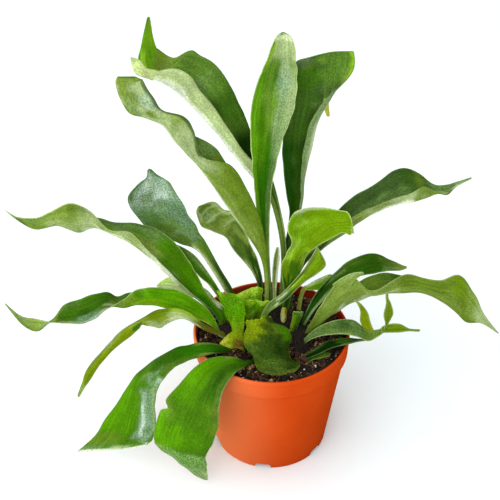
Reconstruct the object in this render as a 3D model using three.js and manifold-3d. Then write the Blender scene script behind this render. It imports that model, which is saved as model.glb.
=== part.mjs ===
// A staghorn fern growing in a round plastic nursery pot.
// Millimetres, +Z up, X to the right and Y away from the viewer. The origin is the centre of the pot's underside.

import * as THREE from 'three';
import * as BufferGeometryUtils from 'three/addons/utils/BufferGeometryUtils.js';
import Module from 'manifold-3d';

const wasm = await Module();
wasm.setup();

// Pot
const POT_HEIGHT = 134;
const RIM_RADIUS = 76;
const RIM_BAND = 20;
const FOOT_RADIUS = 57.7;
const POT_WALL = 1.8;
const POT_FLOOR = 2.2;
const SHOULDER_STEP = 2.2;
const FOOT_ROUND = 1.2;
const LIP_ROUND = 1;
const RIM_WALL = 3;
const POT_SIDES = 36;
const DRAIN_HOLES = 6;
const DRAIN_HOLE_RADIUS = 4.5;
const DRAIN_HOLE_CIRCLE = 40;
const FOOT_NOTCHES = 6;
const FOOT_NOTCH_TURN = -98; // degrees from +X to the first notch
const FOOT_NOTCH_WIDTH = 16;
const FOOT_NOTCH_HEIGHT = 6;

// Radii inside the pot, and the height at which the rim band starts
const BAND_FOOT = POT_HEIGHT - RIM_BAND;
const SHOULDER_RADIUS = RIM_RADIUS - SHOULDER_STEP - 1.2;
const FLOOR_RADIUS = FOOT_RADIUS - POT_WALL - 1.8;

// Soil and rhizome
const SOIL_LEVEL = 124.5;
const SOIL_RELIEF = 1.1;
const SOIL_RINGS = 5;
const SOIL_SECTORS = 28;
const CLEARANCE = 0.3;
const RHIZOME_FLATNESS = 0.8;

// Foliage
const BLADE_THICKNESS = 0.9;
const PETIOLE_THICKNESS = 4.2;
const SHIELD_THICKNESS = 1.2;
const PETIOLE_WIDTH = 5.5;
const MAX_STOUTNESS = 0.7; // thickness of a petiole over its width
const TIP_WIDTH = 3;
const WIDE_BLADE = 36;
const SHIELD_FOOT_WIDTH = 9;
const STEPS_PER_STATION = 1.5;
const HOLE_REACH = 141; // height up to which stems stand in holes

// Every frond is a list of stations from its base to its tip. A station is three points across the blade:
// its left edge, its rib or fold, and its right edge, seen from the base with the upper face up. An end that is
// one point is narrow.
// stalk is the share of the length that is thick petiole.
const FRONDS = {
  frond_tall_centre: { stalk: 0.42, rows: [
    [-1, 32, 118],
    [[-4, 34, 145], [-1, 35, 145], [1, 34, 145]],
    [[-8, 42, 193], [-5, 44, 191], [-2, 42, 193]],
    [[-14, 48, 235], [-8, 52, 233], [-2, 48, 235]],
    [[-17, 54, 268], [-9, 59, 266], [1, 54, 273]],
    [[-20, 59, 305], [-6, 66, 303], [9, 60, 309]],
    [[-20, 64, 338], [-1, 72, 336], [19, 66, 339]],
    [[-13, 69, 367], [4, 77, 365], [21, 71, 368]],
    [[-3, 75, 390], [7, 80, 389], [19, 76, 390]],
    [8, 81, 404],
  ] },
  frond_tall_right: { stalk: 0.3, rows: [
    [17, 43, 118],
    [[14, 48, 145], [18, 50, 143], [21, 48, 145]],
    [[13, 54, 190], [19, 57, 188], [24, 54, 190]],
    [[17, 60, 225], [28, 63, 233], [27, 57, 241]],
    [[12, 64, 262], [30, 69, 261], [27, 62, 268]],
    [[9, 68, 295], [34, 74, 288], [29, 66, 296]],
    [[9, 72, 322], [39, 79, 316], [35, 70, 324]],
    [[10, 77, 345], [47, 85, 337], [49, 76, 344]],
    [[13, 82, 363], [48, 92, 360], [68, 82, 361]],
    [[20, 86, 375], [51, 93, 375], [73, 85, 374]],
    [[31, 88, 377], [52, 91, 380], [72, 87, 382]],
  ] },
  frond_tall_left: { stalk: 0.2, rows: [
    [9, 33, 118],
    [[10, 48, 192], [12, 50, 190], [15, 51, 192]],
    [[-1, 62, 244], [1, 64, 242], [6, 66, 243]],
    [[-13, 70, 274], [-17, 70, 263], [-6, 80, 277]],
    [[-27, 75, 290], [-34, 76, 283], [-17, 88, 296]],
    [[-49, 82, 324], [-59, 84, 315], [-31, 98, 328]],
    [[-66, 86, 347], [-78, 88, 335], [-49, 106, 359]],
    [[-75, 88, 361], [-89, 90, 345], [-67, 110, 371]],
    [[-88, 89, 367], [-100, 92, 352], [-76, 111, 375]],
    [[-104, 91, 364], [-106, 93, 354], [-91, 112, 367]],
    [[-113, 93, 362], [-112, 95, 356], [-105, 112, 376]],
    [[-122, 99, 371], [-117, 100, 369], [-107, 112, 378]],
    [[-118, 103, 388], [-115, 104, 389], [-109, 111, 388]],
    [-112, 111, 407],
  ] },
  frond_arching_left: { stalk: 0.22, rows: [
    [-6, 21, 118],
    [[-2, 26, 162], [-4, 26, 161], [-6, 29, 161]],
    [[-4, 31, 197], [-8, 32, 195], [-9, 35, 197]],
    [[-10, 36, 235], [-26, 34, 226], [-17, 42, 231]],
    [[-23, 40, 268], [-43, 38, 253], [-30, 48, 263]],
    [[-38, 43, 293], [-59, 42, 279], [-44, 56, 290]],
    [[-64, 47, 300], [-74, 46, 299], [-55, 60, 304]],
    [[-71, 50, 325], [-89, 48, 316], [-76, 64, 315]],
    [[-80, 52, 338], [-99, 50, 330], [-85, 66, 329]],
    [[-98, 54, 343], [-114, 53, 336], [-102, 67, 335]],
    [[-106, 56, 354], [-128, 56, 340], [-113, 70, 342]],
    [[-114, 58, 369], [-136, 61, 352], [-121, 72, 356]],
    [[-116, 60, 370], [-139, 64, 365], [-124, 70, 364]],
    [-139, 64, 368],
  ] },
  frond_left_upper: { stalk: 0.22, rows: [
    [-46, 8, 118],
    [[-53, 13, 136], [-50, 15, 137], [-48, 17, 138]],
    [[-67, 19, 152], [-68, 22, 153], [-63, 26, 157]],
    [[-81, 22, 165], [-86, 26, 166], [-73, 38, 172]],
    [[-101, 26, 188], [-106, 31, 189], [-86, 46, 193]],
    [[-116, 28, 206], [-124, 36, 204], [-105, 56, 209]],
    [[-133, 34, 224], [-143, 36, 217], [-128, 62, 215]],
    [[-155, 38, 226], [-161, 40, 224], [-154, 62, 218]],
    [[-172, 44, 243], [-173, 42, 224], [-173, 60, 225]],
    [[-190, 44, 251], [-187, 42, 220], [-191, 62, 227]],
    [[-211, 48, 239], [-205, 46, 225], [-211, 58, 226]],
    [[-225, 50, 231], [-226, 48, 219], [-230, 56, 222]],
    [[-243, 50, 232], [-242, 50, 227], [-244, 55, 228]],
    [-254, 52, 238],
  ] },
  frond_left_inner: { stalk: 0.3, rows: [
    [-34, 24, 118],
    [[-57, 30, 159], [-55, 31, 158], [-52, 33, 159]],
    [[-71, 42, 167], [-68, 43, 166], [-63, 46, 170]],
    [[-86, 52, 180], [-83, 53, 180], [-76, 57, 182]],
    [[-98, 58, 191], [-95, 59, 190], [-90, 62, 189]],
    [-102, 62, 193],
  ] },
  frond_left_silvery: { stalk: 0.32, rows: [
    [-35, 35, 118],
    [[-44, 41, 142], [-40, 42, 142], [-36, 42, 144]],
    [[-59, 50, 168], [-55, 51, 169], [-51, 51, 171]],
    [[-73, 58, 186], [-67, 60, 186], [-62, 59, 190]],
    [[-92, 64, 191], [-80, 68, 197], [-71, 65, 204]],
    [[-113, 69, 196], [-96, 75, 207], [-80, 71, 218]],
    [[-130, 72, 213], [-112, 79, 219], [-86, 74, 231]],
    [[-140, 74, 236], [-117, 82, 235], [-95, 77, 245]],
    [[-131, 76, 250], [-117, 82, 249], [-99, 79, 253]],
    [[-121, 79, 257], [-117, 82, 258], [-110, 81, 260]],
    [-118, 82, 266],
  ] },
  frond_back_left: { stalk: 0.3, rows: [
    [-14, 46, 118],
    [[-13, 54, 144], [-10, 55, 144], [-8, 55, 147]],
    [[-21, 64, 159], [-18, 66, 163], [-14, 65, 172]],
    [[-35, 74, 171], [-28, 79, 174], [-21, 76, 183]],
    [[-45, 84, 182], [-37, 91, 186], [-28, 87, 196]],
    [[-59, 94, 185], [-50, 103, 190], [-35, 99, 204]],
    [[-71, 104, 184], [-60, 113, 193], [-47, 110, 201]],
    [[-76, 112, 194], [-67, 118, 197], [-58, 118, 205]],
    [-74, 119, 199],
  ] },
  frond_left_twisted: { stalk: 0.12, rows: [
    [-47, -1, 118],
    [[-50, 1, 131], [-50, 2, 128], [-49, 6, 127]],
    [[-62, 6, 155], [-62, 3, 139], [-63, 12, 138]],
    [[-86, 4, 177], [-83, 0, 153], [-87, 18, 157]],
    [[-108, 2, 184], [-106, -2, 164], [-112, 20, 165]],
    [[-128, 2, 181], [-125, -2, 166], [-135, 20, 164]],
    [[-140, 0, 172], [-143, 1, 161], [-150, 22, 158]],
    [[-158, -2, 160], [-163, 10, 156], [-163, 26, 160]],
    [[-176, -8, 149], [-180, 4, 150], [-184, 24, 154]],
    [[-194, -6, 146], [-199, 4, 146], [-202, 18, 150]],
    [[-212, 0, 143], [-215, 3, 140], [-214, 7, 140]],
    [[-229, 5, 143], [-228, 2, 130], [-233, 14, 130]],
    [[-243, 6, 146], [-242, 4, 136], [-246, 11, 139]],
    [-256, 6, 161],
  ] },
  frond_left_drooping: { stalk: 0.3, rows: [
    [-44, -7, 118],
    [[-46, -9, 131], [-46, -8, 131], [-45, -4, 132]],
    [[-64, -13, 144], [-65, -12, 146], [-64, -7, 146]],
    [[-84, -18, 162], [-87, -15, 166], [-84, -7, 164]],
    [[-105, -24, 158], [-109, -18, 167], [-106, -8, 165]],
    [[-121, -26, 159], [-124, -22, 163], [-122, -12, 157]],
    [[-133, -30, 150], [-139, -28, 155], [-140, -20, 151]],
    [[-148, -34, 139], [-152, -33, 142], [-152, -24, 140]],
    [[-161, -38, 125], [-166, -38, 128], [-164, -26, 126]],
    [[-172, -40, 107], [-177, -40, 112], [-174, -32, 115]],
    [[-180, -42, 95], [-182, -42, 97], [-183, -38, 96]],
    [-187, -42, 84],
  ] },
  frond_front_left: { stalk: 0.25, rows: [
    [-34, -13, 118],
    [[-40, -20, 122], [-41, -21, 126], [-41, -19, 128]],
    [[-61, -42, 138], [-62, -37, 141], [-61, -28, 141]],
    [[-80, -52, 139], [-84, -42, 141], [-83, -32, 141]],
    [[-93, -60, 136], [-102, -50, 139], [-100, -39, 138]],
    [[-102, -66, 127], [-116, -56, 127], [-119, -44, 126]],
    [[-107, -71, 115], [-122, -61, 112], [-134, -48, 110]],
    [[-109, -75, 97], [-122, -66, 96], [-148, -53, 87]],
    [[-110, -78, 80], [-124, -69, 75], [-162, -57, 66]],
    [[-113, -80, 66], [-127, -71, 59], [-172, -60, 49]],
    [[-119, -79, 60], [-134, -72, 45], [-191, -64, 31]],
  ] },
  frond_front_pot: { stalk: 0.16, rows: [
    [-10, -25, 118],
    [[-22, -47, 130], [-23, -47, 133], [-24, -44, 133]],
    [[-33, -66, 139], [-38, -60, 141], [-38, -45, 139]],
    [[-41, -77, 137], [-51, -68, 139], [-55, -48, 141]],
    [[-47, -85, 125], [-61, -78, 128], [-71, -58, 139]],
    [[-49, -90, 112], [-67, -84, 113], [-87, -66, 123]],
    [[-50, -93, 95], [-72, -89, 99], [-101, -73, 106]],
    [[-55, -93, 76], [-79, -91, 82], [-110, -79, 80]],
    [[-62, -91, 56], [-85, -91, 62], [-111, -81, 65]],
    [[-62, -87, 36], [-82, -88, 45], [-107, -80, 55]],
    [[-62, -81, 11], [-67, -81, 11], [-81, -80, 23]],
  ] },
  frond_right_upper: { stalk: 0.3, rows: [
    [21, 28, 118],
    [[18, 36, 154], [19, 35, 152], [22, 35, 151]],
    [[29, 44, 185], [31, 42, 182], [34, 41, 184]],
    [[43, 53, 203], [48, 47, 198], [50, 45, 200]],
    [[64, 66, 228], [67, 54, 207], [66, 52, 220]],
    [[81, 74, 241], [84, 58, 221], [82, 57, 230]],
    [[101, 82, 249], [102, 62, 232], [100, 60, 238]],
    [[117, 88, 259], [119, 66, 238], [117, 64, 244]],
    [[130, 92, 261], [133, 68, 239], [132, 70, 245]],
    [[145, 92, 254], [147, 70, 240], [147, 75, 250]],
    [[159, 86, 246], [161, 76, 242], [160, 77, 244]],
    [[171, 84, 247], [171, 76, 241], [171, 76, 246]],
    [[180, 83, 251], [179, 79, 248], [179, 77, 251]],
    [193, 80, 257],
  ] },
  frond_young_wide: { stalk: 0.4, rows: [
    [12, 21, 118],
    [[12, 24, 161], [16, 26, 161], [21, 24, 165]],
    [[9, 26, 186], [18, 30, 186], [28, 26, 184]],
    [[13, 28, 203], [22, 34, 201], [34, 28, 202]],
    [[18, 28, 216], [29, 36, 211], [42, 26, 214]],
    [[14, 26, 232], [31, 36, 223], [51, 24, 222]],
    [[16, 26, 244], [37, 34, 234], [60, 20, 231]],
    [[23, 28, 254], [46, 30, 244], [65, 17, 236]],
    [[44, 26, 258], [60, 22, 252], [71, 14, 236]],
    [[57, 20, 261], [67, 19, 257], [74, 14, 249]],
  ] },
  frond_young_narrow: { stalk: 0.3, rows: [
    [-13, -3, 118],
    [[-10, 2, 150], [-7, 2, 149], [-4, 1, 150]],
    [[-2, 6, 163], [2, 6, 159], [6, 4, 160]],
    [[9, 10, 170], [12, 9, 167], [15, 8, 165]],
    [[24, 14, 187], [27, 13, 182], [30, 11, 182]],
    [[32, 17, 198], [38, 18, 192], [41, 13, 190]],
    [[38, 20, 209], [45, 21, 200], [50, 15, 197]],
    [[41, 22, 215], [46, 22, 208], [50, 18, 203]],
    [42, 22, 217],
  ] },
  frond_right_dark: { stalk: 0.3, rows: [
    [31, 8, 118],
    [[28, 9, 125], [29, 8, 126], [31, 6, 126]],
    [[34, 13, 146], [37, 12, 146], [40, 8, 148]],
    [[45, 19, 167], [49, 20, 164], [53, 12, 164]],
    [[60, 27, 181], [62, 24, 176], [67, 16, 177]],
    [[76, 35, 192], [79, 28, 187], [83, 20, 183]],
    [[98, 42, 195], [99, 34, 189], [99, 26, 182]],
    [[116, 44, 186], [114, 37, 183], [111, 30, 182]],
    [[128, 43, 180], [126, 39, 179], [125, 36, 178]],
    [133, 41, 178],
  ] },
  frond_right_long: { stalk: 0.1, rows: [
    [29, -5, 118],
    [[29, 0, 129], [31, -3, 127], [32, -5, 132]],
    [[39, 8, 136], [41, -4, 135], [39, -6, 152]],
    [[50, 14, 152], [55, -4, 153], [47, -8, 173]],
    [[65, 18, 163], [69, -4, 166], [60, -8, 199]],
    [[81, 20, 174], [85, -4, 175], [73, -6, 204]],
    [[94, 22, 183], [98, -4, 180], [91, -8, 188]],
    [[110, 22, 186], [113, -4, 183], [105, -8, 195]],
    [[123, 18, 186], [127, -4, 183], [123, -4, 204]],
    [[143, 13, 179], [144, -4, 181], [139, -5, 201]],
    [[161, 11, 176], [160, -4, 173], [156, -5, 198]],
    [[180, 10, 173], [174, -6, 162], [173, -5, 204]],
    [[195, 7, 161], [186, -6, 149], [189, -5, 183]],
    [[205, 1, 149], [201, -6, 147], [203, -6, 157]],
    [220, -5, 133],
  ] },
  frond_right_forked: { stalk: 0.2, rows: [
    [28, -14, 118],
    [[29, -12, 128], [30, -14, 127], [31, -16, 128]],
    [[37, -11, 139], [39, -15, 137], [38, -19, 138]],
    [[49, -9, 148], [51, -15, 143], [50, -21, 145]],
    [[65, -8, 153], [66, -16, 148], [65, -21, 146]],
    [[79, -8, 152], [80, -15, 146], [80, -21, 143]],
    [[90, -9, 142], [92, -14, 139], [92, -20, 136]],
    [[101, -12, 144], [102, -14, 141], [101, -18, 140]],
    [[108, -14, 150], [109, -14, 147], [108, -17, 146]],
  ], lobes: [
    [
      [[106, -16, 147], [108, -15, 147], [109, -15, 148]],
      [[107, -17, 155], [108, -16, 154], [110, -16, 154]],
      [[104, -19, 168], [109, -17, 166], [113, -19, 169]],
      [[105, -20, 182], [108, -18, 180], [110, -20, 181]],
      [[104, -20, 189], [106, -19, 188], [107, -20, 188]],
      [105, -20, 194],
    ],
    [
      [[104, -14, 149], [104, -15, 146], [104, -18, 145]],
      [[112, -13, 152], [112, -15, 147], [112, -19, 146]],
      [[122, -12, 151], [122, -15, 148], [121, -19, 146]],
      [[131, -14, 147], [131, -15, 146], [130, -17, 146]],
      [141, -16, 146],
    ],
    [
      [[90, -10, 141], [94, -12, 142], [98, -13, 143]],
      [[84, -10, 152], [90, -12, 152], [94, -13, 153]],
      [[83, -12, 167], [86, -14, 167], [90, -15, 167]],
      [[79, -15, 178], [82, -16, 178], [84, -16, 177]],
      [77, -16, 183],
    ],
  ] },
  frond_right_low: { stalk: 0.2, rows: [
    [27, -27, 118],
    [[30, -30, 127], [32, -31, 125], [31, -34, 125]],
    [[40, -24, 130], [44, -30, 131], [43, -35, 133]],
    [[54, -18, 135], [58, -24, 136], [59, -30, 137]],
    [[71, -15, 136], [72, -21, 137], [73, -27, 139]],
    [[82, -14, 134], [83, -17, 135], [85, -21, 137]],
    [91, -16, 134],
  ] },
  frond_small_right: { stalk: 0.3, rows: [
    [27, 35, 118],
    [[30, 46, 145], [32, 45, 144], [33, 43, 145]],
    [[38, 52, 149], [40, 50, 146], [41, 46, 146]],
    [[48, 58, 151], [50, 56, 146], [51, 50, 144]],
    [[57, 62, 153], [58, 60, 151], [59, 58, 150]],
    [63, 64, 151],
  ] },
  frond_small_left: { stalk: 0.2, rows: [
    [-44, 16, 118],
    [[-47, 15, 129], [-45, 16, 130], [-42, 16, 131]],
    [[-53, 20, 140], [-49, 21, 139], [-44, 21, 139]],
    [[-58, 24, 148], [-54, 25, 146], [-48, 25, 144]],
    [-59, 26, 153],
  ] },
  frond_left_hidden: { stalk: 0.25, rows: [
    [-42, 27, 118],
    [[-63, 34, 143], [-63, 35, 147], [-62, 38, 151]],
    [[-83, 40, 141], [-82, 42, 147], [-80, 46, 154]],
    [[-99, 46, 138], [-97, 48, 147], [-94, 52, 158]],
    [[-109, 49, 140], [-109, 51, 147], [-105, 54, 155]],
    [-115, 52, 147],
  ] },
  frond_small_front: { stalk: 0.3, rows: [
    [30, -38, 118],
    [[39, -33, 127], [38, -35, 128], [37, -38, 127]],
    [[45, -27, 129], [45, -31, 129], [45, -36, 128]],
    [[51, -27, 129], [51, -31, 129], [51, -34, 128]],
    [56, -30, 128],
  ] },
  frond_unrolling: { stalk: 0.6, rows: [
    [3, 23, 118],
    [[2, 30, 149], [3, 31, 148], [5, 30, 149]],
    [[1, 34, 174], [4, 36, 173], [6, 34, 174]],
    [[2, 38, 192], [5, 40, 192], [8, 38, 192]],
    [6, 41, 203],
  ] },
  frond_bud: { stalk: 1, rows: [
    [11, 7, 118],
    [[10, 8, 130], [12, 8, 129], [15, 8, 130]],
    [[9, 12, 141], [12, 11, 141], [15, 12, 141]],
    [[10, 14, 149], [12, 14, 150], [15, 14, 149]],
  ] },
};

// The shield fronds, which clasp the rhizome and rest on the soil, are read the same way, from their foot up.
const SHIELDS = {
  shield_front: [
    [[-8, -54, 128], [4, -57, 127], [21, -52, 126]],
    [[-14, -50, 131], [2, -58, 139], [26, -46, 131]],
    [[-19, -44, 138], [-2, -56, 150], [17, -43, 134]],
    [[-25, -38, 146], [-4, -52, 157], [15, -37, 141]],
    [[-26, -30, 154], [-6, -46, 164], [18, -30, 149]],
    [[-25, -26, 160], [-9, -40, 171], [11, -26, 158]],
    [[-24, -22, 165], [-13, -32, 175], [-2, -20, 167]],
  ],
  shield_yellow: [
    [-25, -10, 118],
    [[-27, -34, 137], [-25, -33, 144], [-25, -26, 149]],
    [[-34, -35, 140], [-32, -37, 151], [-30, -25, 153]],
    [[-41, -34, 141], [-38, -36, 152], [-37, -24, 152]],
    [-48, -30, 143],
  ],
  shield_upright: [
    [-32, -12, 118],
    [[-38, -6, 141], [-32, -9, 144], [-26, -8, 150]],
    [[-44, 0, 152], [-34, -4, 158], [-25, -4, 159]],
    [[-49, 8, 161], [-37, 4, 167], [-27, 4, 166]],
    [[-53, 14, 170], [-41, 10, 170], [-31, 8, 171]],
  ],
  shield_back: [
    [[-24, 30, 124], [-14, 28, 124], [-6, 30, 124]],
    [[-31, 34, 143], [-20, 30, 145], [-9, 34, 143]],
    [[-33, 38, 146], [-21, 36, 153], [-8, 38, 151]],
    [[-32, 40, 146], [-21, 39, 153], [-9, 40, 154]],
  ],
  shield_middle: [
    [[-22, 6, 124], [-14, 3, 124], [-4, 6, 124]],
    [[-25, 8, 143], [-19, 4, 145], [-10, 8, 144]],
    [[-28, 14, 149], [-17, 10, 152], [-5, 14, 150]],
    [[-29, 18, 154], [-16, 16, 157], [-1, 18, 155]],
  ],
  shield_right: [
    [[16, -6, 124], [19, -8, 124], [22, -6, 124]],
    [[18, 0, 135], [21, -3, 135], [25, 0, 137]],
    [[20, 4, 143], [24, 1, 145], [29, 4, 145]],
    [[21, 8, 149], [26, 6, 151], [31, 8, 149]],
  ],
};

const point = (xyz) => new THREE.Vector3(...xyz);

const distance = (a, b) => point(a).distanceTo(point(b));

const isPoint = (row) => !Array.isArray(row[0]);

// Station lists with each narrow end, which is one point, widened along its neighbour's width.
function openedEnds(rows, footWidth) {
  const widened = (middle, [left, , right], width) => {
    const half = point(right).sub(point(left)).setLength(width / 2);
    return [point(middle).sub(half).toArray(), middle, point(middle).add(half).toArray()];
  };
  const last = rows.length - 1;
  return rows.map((row, i) => {
    if (!isPoint(row)) return row;
    return i === 0 ? widened(row, rows[1], footWidth) : widened(row, rows[last - 1], TIP_WIDTH);
  });
}

function rail(rows, column) {
  return new THREE.CatmullRomCurve3(rows.map((row) => point(row[column])), false, 'catmullrom', 0.5);
}

// A blade is a sheet through its three rails, thickened along its own normal. Both faces share one grid and are
// split along the same diagonals. grow swells it on every side, for the clearance hole that it stands in, which is
// only as high as reach.
function bladeGeometry(stations, { columns, thickness, core = thickness, stalk = 0, grow = 0, reach = Infinity }) {
  const rows = openedEnds(stations, stalk ? PETIOLE_WIDTH : SHIELD_FOOT_WIDTH);
  const rails = [0, 1, 2].map((column) => rail(rows, column));
  const allSteps = Math.round((rows.length - 1) * STEPS_PER_STATION);
  const sheet = [];
  for (let i = 0; i <= allSteps; i += 1) {
    const [left, rib, right] = rails.map((curve) => curve.getPoint(i / allSteps));
    const half = right.clone().sub(left).multiplyScalar(0.5);
    const sag = left.clone().add(right).multiplyScalar(0.5).sub(rib);
    const stretch = 1 + grow / Math.max(half.length(), 1);
    const across = [];
    for (let j = 0; j <= columns; j += 1) {
      const s = (2 * j / columns - 1) * stretch;
      across.push(rib.clone().addScaledVector(half, s).addScaledVector(sag, s * s));
    }
    sheet.push(across);
  }
  if (grow) lengthenFoot(sheet, grow);
  const above = sheet.findIndex((across) => across[columns / 2].z > reach);
  const steps = above > 0 ? above : allSteps;

  const positions = [];
  for (const side of [1, -1]) {
    for (let i = 0; i <= steps; i += 1) {
      const woody = 1 - THREE.MathUtils.smoothstep(i / allSteps, stalk * 0.6, stalk + 1e-6);
      const stout = Math.min(core, MAX_STOUTNESS * sheet[i][0].distanceTo(sheet[i][columns]));
      for (let j = 0; j <= columns; j += 1) {
        const s = 2 * j / columns - 1;
        const full = thickness + Math.max(0, stout - thickness) * woody * (1 - s * s);
        const offset = sheetNormal(sheet, i, j).multiplyScalar(side * (full / 2 + grow));
        positions.push(...sheet[i][j].clone().add(offset).toArray());
      }
    }
  }
  return closedGeometry(positions, plateIndices(steps, columns));
}

function lengthenFoot([foot, next], grow) {
  foot.forEach((vertex, j) => vertex.add(vertex.clone().sub(next[j]).setLength(grow * 3)));
}

// The sheet's normal at a grid point. A narrow end row has one normal, so that it doesn't twist.
function sheetNormal(sheet, i, j) {
  const [row, columns] = [sheet[i], sheet[i].length - 1];
  const narrow = (i === 0 || i === sheet.length - 1) && row[0].distanceTo(row[columns]) < 2 * TIP_WIDTH;
  const [j0, j1, middle] = narrow ? [0, columns, columns / 2] : [Math.max(j - 1, 0), Math.min(j + 1, columns), j];
  const along = sheet[Math.min(i + 1, sheet.length - 1)][middle].clone().sub(sheet[Math.max(i - 1, 0)][middle]);
  return row[j1].clone().sub(row[j0]).cross(along).normalize();
}

// Triangles of a plate whose upper and lower grids each have (steps + 1) rows of (columns + 1) points.
function plateIndices(steps, columns) {
  const width = columns + 1;
  const lower = (steps + 1) * width;
  const indices = [];
  const quad = (a, b, c, d) => indices.push(a, b, c, a, c, d);
  for (let i = 0; i < steps; i += 1) {
    for (let j = 0; j < columns; j += 1) {
      const a = i * width + j;
      const [b, c, d] = [a + 1, a + width + 1, a + width];
      quad(a, b, c, d);
      indices.push(lower + a, lower + c, lower + b, lower + a, lower + d, lower + c);
    }
    const [near, far] = [i * width, i * width + columns];
    quad(near, near + width, lower + near + width, lower + near);
    quad(far, lower + far, lower + far + width, far + width);
  }
  for (let j = 0; j < columns; j += 1) {
    const tip = steps * width + j;
    quad(j, lower + j, lower + j + 1, j + 1);
    quad(tip, tip + 1, lower + tip + 1, lower + tip);
  }
  return indices;
}

function closedGeometry(positions, indices) {
  const geometry = new THREE.BufferGeometry();
  geometry.setAttribute('position', new THREE.Float32BufferAttribute(positions, 3));
  geometry.setIndex(indices);
  return geometry;
}

function solid(geometry) {
  const bare = geometry.clone();
  bare.deleteAttribute('normal');
  bare.deleteAttribute('uv');
  const merged = BufferGeometryUtils.mergeVertices(bare, 1e-4);
  return new wasm.Manifold(new wasm.Mesh({
    numProp: 3,
    vertProperties: Float32Array.from(merged.attributes.position.array),
    triVerts: Uint32Array.from(merged.index.array),
  }));
}

function geometryOf(manifold) {
  const mesh = manifold.getMesh();
  return closedGeometry(Array.from(mesh.vertProperties), Array.from(mesh.triVerts));
}

// The largest loose body of a cut solid; smaller scraps are dropped.
function mainBody(manifold) {
  return manifold.decompose().sort((a, b) => b.volume() - a.volume())[0];
}

// Pot

function potGeometry() {
  const profile = [
    [0, 0],
    [FOOT_RADIUS - FOOT_ROUND, 0],
    [FOOT_RADIUS, FOOT_ROUND],
    [SHOULDER_RADIUS, BAND_FOOT - 0.6],
    [RIM_RADIUS - LIP_ROUND, BAND_FOOT],
    [RIM_RADIUS - 0.6, BAND_FOOT + LIP_ROUND],
    [RIM_RADIUS, POT_HEIGHT - LIP_ROUND],
    [RIM_RADIUS - LIP_ROUND, POT_HEIGHT],
    [RIM_RADIUS - RIM_WALL + LIP_ROUND, POT_HEIGHT],
    [RIM_RADIUS - RIM_WALL, POT_HEIGHT - LIP_ROUND],
    [RIM_RADIUS - RIM_WALL, BAND_FOOT + 2],
    [SHOULDER_RADIUS - POT_WALL, BAND_FOOT - 2],
    [FOOT_RADIUS - POT_WALL - 0.6, POT_FLOOR + FOOT_ROUND],
    [FLOOR_RADIUS, POT_FLOOR],
    [0, POT_FLOOR],
  ];
  const lathe = new THREE.LatheGeometry(profile.map(([r, z]) => new THREE.Vector2(r, z)), POT_SIDES);
  let pot = solid(lathe.rotateX(Math.PI / 2));
  for (let i = 0; i < DRAIN_HOLES; i += 1) {
    const angle = (i + 0.5) * 2 * Math.PI / DRAIN_HOLES;
    const plug = new THREE.CylinderGeometry(DRAIN_HOLE_RADIUS, DRAIN_HOLE_RADIUS, 4 * POT_FLOOR, 12);
    const [x, y] = [DRAIN_HOLE_CIRCLE * Math.cos(angle), DRAIN_HOLE_CIRCLE * Math.sin(angle)];
    plug.rotateX(Math.PI / 2).translate(x, y, 0);
    pot = pot.subtract(solid(plug));
  }
  for (let i = 0; i < FOOT_NOTCHES; i += 1) {
    const angle = FOOT_NOTCH_TURN * Math.PI / 180 + i * 2 * Math.PI / FOOT_NOTCHES;
    pot = pot.subtract(solid(notchGeometry(angle)));
  }
  return geometryOf(pot);
}

// A low arch cut through the foot of the wall, for water to run out.
function notchGeometry(angle) {
  const half = FOOT_NOTCH_WIDTH / 2;
  const arch = new THREE.Shape();
  arch.moveTo(-half, -2);
  arch.lineTo(half, -2);
  arch.lineTo(half, FOOT_NOTCH_HEIGHT * 0.4);
  arch.quadraticCurveTo(half, FOOT_NOTCH_HEIGHT, half * 0.5, FOOT_NOTCH_HEIGHT);
  arch.lineTo(-half * 0.5, FOOT_NOTCH_HEIGHT);
  arch.quadraticCurveTo(-half, FOOT_NOTCH_HEIGHT, -half, FOOT_NOTCH_HEIGHT * 0.4);
  const cutter = new THREE.ExtrudeGeometry(arch, { depth: 12, bevelEnabled: false, curveSegments: 2 });
  cutter.rotateX(Math.PI / 2);
  cutter.translate(0, -FOOT_RADIUS + 6, 0);
  return cutter.rotateZ(angle + Math.PI / 2);
}

// Soil: a disc that fills the pot, with a crumbly top.

function soilRelief(x, y) {
  return SOIL_RELIEF * (Math.sin(0.33 * x + 0.4) * Math.cos(0.29 * y) + 0.6 * Math.sin(0.71 * x - 0.52 * y + 1));
}

function soilGeometry() {
  const foot = POT_FLOOR + CLEARANCE;
  const topRadius = RIM_RADIUS - RIM_WALL - CLEARANCE - 0.4;
  const rings = [];
  for (let k = 1; k <= SOIL_RINGS; k += 1) rings.push({ radius: topRadius * k / SOIL_RINGS, top: true });
  rings.push({ radius: topRadius, z: BAND_FOOT + 2.5 });
  rings.push({ radius: SHOULDER_RADIUS - POT_WALL - CLEARANCE - 0.4, z: BAND_FOOT - 2.5 });
  rings.push({ radius: FLOOR_RADIUS - CLEARANCE, z: foot });
  const positions = [0, 0, SOIL_LEVEL + soilRelief(0, 0)];
  for (const ring of rings) {
    for (let k = 0; k < SOIL_SECTORS; k += 1) {
      const angle = k * 2 * Math.PI / SOIL_SECTORS;
      const [x, y] = [ring.radius * Math.cos(angle), ring.radius * Math.sin(angle)];
      positions.push(x, y, ring.top ? SOIL_LEVEL + soilRelief(x, y) : ring.z);
    }
  }
  positions.push(0, 0, foot);
  return closedGeometry(positions, fanIndices(rings.length, SOIL_SECTORS));
}

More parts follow.
